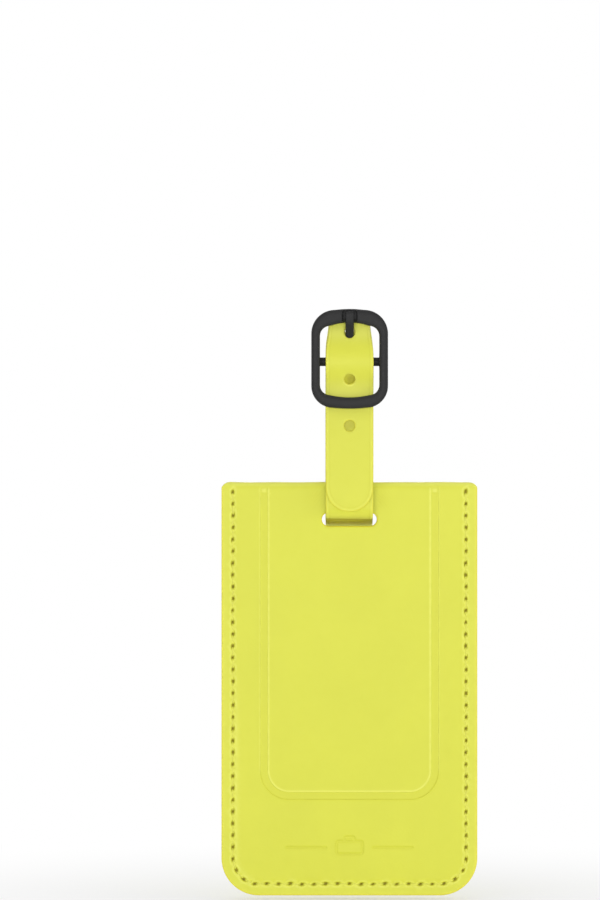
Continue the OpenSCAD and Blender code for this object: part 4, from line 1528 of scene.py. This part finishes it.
def buckle_masks(x, z):
    # a painted highlight along the frame's rims
    return {"pit": np.zeros(len(x)), "worn": 0.5 * bell(rim_distance(x, z) - 0.55, 0.4)}


sheet("buckle_frame_body", BUCKLE_OUTER, [BUCKLE_INNER], buckle_points(),
      lambda x, z, height: np.column_stack([x, (FRAME_Y - 1.2) - height, z]),
      buckle_top, lambda x, z: np.full(len(x), -2.4), charcoal, node="buckle_frame",
      r_top=0.72, r_bottom=0.45, step=0.3, coarse=0.8, masks=buckle_masks,
      rings=7, body="buckle", side_rows=1)


def buckle_ears():
    """The D-shaped ears with soft edges that hold the bar behind the side bars."""
    ear_x, half, soft, radius = 8.45, 0.95, 0.4, 1.8
    outline = relax(resample(np.vstack([
        arc(BAR_Y, BAR_Z, radius, -90, 90, 24),
        [[FRAME_Y + 2.0, BAR_Z + 1.8], [FRAME_Y + 0.9, BAR_Z + 2.5],
         [FRAME_Y + 0.9, BAR_Z - 2.5], [FRAME_Y + 2.0, BAR_Z - 1.8]]]), 0.22))
    normal, _ = ring_normals(outline)
    # (x, inset) across the ear
    profile = [(-half + soft * (1 - math.sin(angle)), soft * (1 - math.cos(angle)))
               for angle in np.linspace(0, PI / 2, 6)[::-1]]
    profile += [(-x, depth) for x, depth in profile[::-1]]
    ears = [solid([np.column_stack([np.full(len(outline), side * ear_x + x),
                                    outline + normal * depth]) for x, depth in profile])
            for side in (-1, 1)]
    add_joined("buckle_frame_ears", ears, charcoal, "buckle_frame", "buckle")


def buckle_bar():
    """The pin along x, with rounded ends."""
    end_x, radius, soft = 8.8, 1.1, 0.25
    # (x, radius) of the right half, then mirrored
    half = [(end_x - soft * (1 - math.sin(angle)), radius - soft * (1 - math.cos(angle)))
            for angle in np.linspace(0, PI / 2, 5)]
    half.append((end_x, radius - soft - 0.02))
    profile = [(-x, ring) for x, ring in half[::-1]] + half
    angle = np.linspace(0, 2 * PI, 36, endpoint=False)
    verts, faces = solid([np.column_stack([np.full(36, x), BAR_Y + ring * np.cos(angle),
                                           BAR_Z + ring * np.sin(angle)])
                          for x, ring in profile])
    register(new_object("buckle_bar_pin", verts, faces, charcoal), "buckle_bar",
             "buckle")


def prong_eye():
    """Rounded rectangular section turned about the bar."""
    soft, half, outer, inner, sides = 0.28, 1.0, 2.0, 1.15, 44
    section = np.vstack([
        arc(half - soft, outer - soft, soft, 0, 90, 5),
        arc(-half + soft, outer - soft, soft, 90, 180, 5),
        arc(-half + 0.1, inner + 0.1, 0.1, 180, 270, 5),
        arc(half - 0.1, inner + 0.1, 0.1, 270, 360, 5)])
    verts = np.vstack([np.column_stack([section[:, 0], BAR_Y + section[:, 1] * math.cos(angle),
                                        BAR_Z + section[:, 1] * math.sin(angle)])
                       for angle in np.linspace(0, 2 * PI, sides, endpoint=False)])
    count = len(section)
    faces = [(i * count + j, i * count + (j + 1) % count,
              ((i + 1) % sides) * count + (j + 1) % count, ((i + 1) % sides) * count + j)
             for i in range(sides) for j in range(count)]
    return verts, outward(verts, faces)


def prong_finger():
    """The finger that rests in the frame's notch, slightly wider and then rounded at its tip."""
    rest_y, bend = FRAME_Y - 1.1, [FRAME_Y - 0.5, 49.2]
    path = np.vstack([
        bezier([BAR_Y - 0.6, 41.3], [BAR_Y - 0.4, 45.6], [BAR_Y - 1.7, 47.6], bend, 40),
        bezier(bend, [FRAME_Y - 0.9, 49.65], [rest_y, 50.1], [rest_y, 50.9], 16)[1:],
        np.column_stack([np.full(14, rest_y), np.linspace(51.05, 52.7, 14)])])
    run = run_lengths(path)
    length = run[-1]
    # even spacing, closer at the tip
    tip_steps = np.array([0.75, 0.55, 0.38, 0.25, 0.14, 0.06, 0.0])
    stops = np.concatenate([np.linspace(0, length - 0.9, 34), length - 0.9 * tip_steps])
    line = np.column_stack([np.interp(stops, run, path[:, i]) for i in (0, 1)])
    normal = left_of(unit(np.gradient(line, axis=0)))   # towards the front
    rings = []
    for i, stop in enumerate(stops):
        half, rise = 0.96 + 0.16 * (stop / length), 0.5
        to_tip = length - stop
        if to_tip < 0.8:
            full = math.sqrt(max(1 - ((0.8 - to_tip) / 0.8) ** 2, 0.0))
            half = half - 0.42 * (1 - full)
            rise = rise - 0.30 * (1 - full)
        corner = 0.34 * min(1, rise / 0.5)
        x, y = half - corner, rise - corner
        section = np.vstack([arc(x, y, corner, 0, 90, 5), arc(-x, y, corner, 90, 180, 5),
                             arc(-x, -y, corner, 180, 270, 5), arc(x, -y, corner, 270, 360, 5)])
        # flat-topped with a faint crown
        crown = 0.06 * (1 - (section[:, 0] / half) ** 2) * (section[:, 1] > 0)
        height = section[:, 1] + crown
        rings.append(np.column_stack([section[:, 0], line[i, 0] + normal[i, 0] * height,
                                      line[i, 1] + normal[i, 1] * height]))
    return solid(rings)


buckle_ears()
buckle_bar()
add_joined("buckle_prong_body", [prong_eye(), prong_finger()], charcoal, "buckle_prong",
           "prong")

# ---------------------------------------------------------------- CAD nodes kept as they are
for node, material, slot in (
        ("foam_interliner", foam, "foam"), ("stiffener_board", board, "board"),
        ("pocket_lining", pocket_cloth, "lining"),
        ("slot_reinforcement", slot_board, "reinforcement"),
        ("clear_window", clear_window, "window"), ("address_card", card_paper, "card")):
    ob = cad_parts[node]
    ob.data.materials.clear()
    ob.data.materials.append(material)


# ---------------------------------------------------------------- stage, in metres from here on
def floor_material():
    """Pale floor that fades, for the camera only, into white away from the tag."""
    shader = new_shader("pale_floor")
    pos = shader.position()
    color = shader.tone(shader.noise(pos, scale=6.0), start=0.3, end=0.7,
                        low=(0.865, 0.865, 0.86), high=(0.885, 0.885, 0.88))
    surface = shader.principled(Base_Color=color, Roughness=0.85, Specular_IOR_Level=0.1)
    axes = shader.axes(pos)
    squares = [shader.math("POWER", axes[i], 2.0) for i in (0, 1)]
    distance = shader.math("SQRT", shader.plus(*squares))
    glow = shader.node("Emission", {"Color": WHITE, "Strength": 1.0})
    camera_ray = shader.node("LightPath").outputs["Is Camera Ray"]
    fade = shader.times(shader.ramp(distance, start=-0.12, end=0.18), camera_ray)
    return shader.finish(shader.mix_shaders(fade, surface, glow.outputs[0]))


def floor():
    """A disc of three rings round a middle point."""
    sides, height = 96, -0.0965
    verts = [(0.0, 0.0, height)]
    for radius in (0.3, 0.9, 2.6):
        verts += [(radius * math.cos(2 * PI * i / sides), radius * math.sin(2 * PI * i / sides),
                   height) for i in range(sides)]
    faces = [(0, 1 + i, 1 + (i + 1) % sides) for i in range(sides)]
    for inner in (1, 1 + sides):
        outer = inner + sides
        faces += [(inner + i, outer + i, outer + (i + 1) % sides, inner + (i + 1) % sides)
                  for i in range(sides)]
    mesh = bpy.data.meshes.new("floor")
    mesh.from_pydata(verts, [], faces)
    mesh.materials.append(floor_material())
    ob = bpy.data.objects.new("floor", mesh)
    bpy.context.scene.collection.objects.link(ob)


def studio_world():
    """White to the camera, dimmer as a light."""
    shader = Shader(bpy.data.worlds.new("studio"), "OutputWorld")
    seen = shader.node("Background", {"Color": WHITE, "Strength": 1.0})
    lit = shader.node("Background", {"Color": WHITE, "Strength": 0.335})
    camera_ray = shader.node("LightPath").outputs["Is Camera Ray"]
    return shader.finish(shader.mix_shaders(camera_ray, lit.outputs[0], seen.outputs[0]))


def softbox(name, location, target, size, power):
    light = bpy.data.lights.new(name, "AREA")
    light.shape = "RECTANGLE"
    light.size, light.size_y = size
    light.energy = power
    ob = bpy.data.objects.new(name, light)
    bpy.context.scene.collection.objects.link(ob)
    ob.location = location
    aim = Vector(target) - Vector(location)
    ob.rotation_euler = aim.to_track_quat("-Z", "Y").to_euler()


scene = bpy.context.scene
floor()
scene.world = studio_world()

MIDDLE = (0.0, 0.0, -0.02)
# name, location, target, (width, height), watts
for light_row in (
        ("front", (-0.12, -1.40, 0.08), MIDDLE, (1.0, 0.34), 5.05),
        ("key", (-0.65, -0.85, 0.70), MIDDLE, (0.6, 0.6), 1.25),
        ("low_front", (0.10, -1.15, -0.015), (0, 0, 0.0), (1.3, 0.14), 2.9),
        ("right", (1.05, -0.45, 0.10), MIDDLE, (0.5, 0.4), 1.5),
        ("top", (0.0, -0.05, 1.15), MIDDLE, (0.9, 0.9), 2.7),
        ("rear", (0.35, 1.30, 0.45), MIDDLE, (1.0, 1.0), 9.8),
        ("rear_low", (-0.8, 0.9, 0.15), MIDDLE, (0.8, 0.8), 1.5)):
    softbox(*light_row)

CAMERA_DISTANCE = 1.2
VIEW_WIDTH = 0.2286     # longer side of the view at the tag's front
SENSOR_WIDTH = 36.0
camera_data = bpy.data.cameras.new("camera")
camera_data.sensor_fit = "AUTO"
camera_data.sensor_width = SENSOR_WIDTH
camera_data.lens = SENSOR_WIDTH * CAMERA_DISTANCE / VIEW_WIDTH
camera_data.clip_start, camera_data.clip_end = 0.01, 20.0
camera = bpy.data.objects.new("camera", camera_data)
scene.collection.objects.link(camera)
camera.location = (-0.01255, -0.0024 - CAMERA_DISTANCE, 0.01765)
camera.rotation_euler = (PI / 2, 0, 0)
scene.camera = camera

scene.view_settings.view_transform = "Standard"
scene.view_settings.look = "None"
scene.view_settings.exposure = 0.0
scene.view_settings.gamma = 1.0
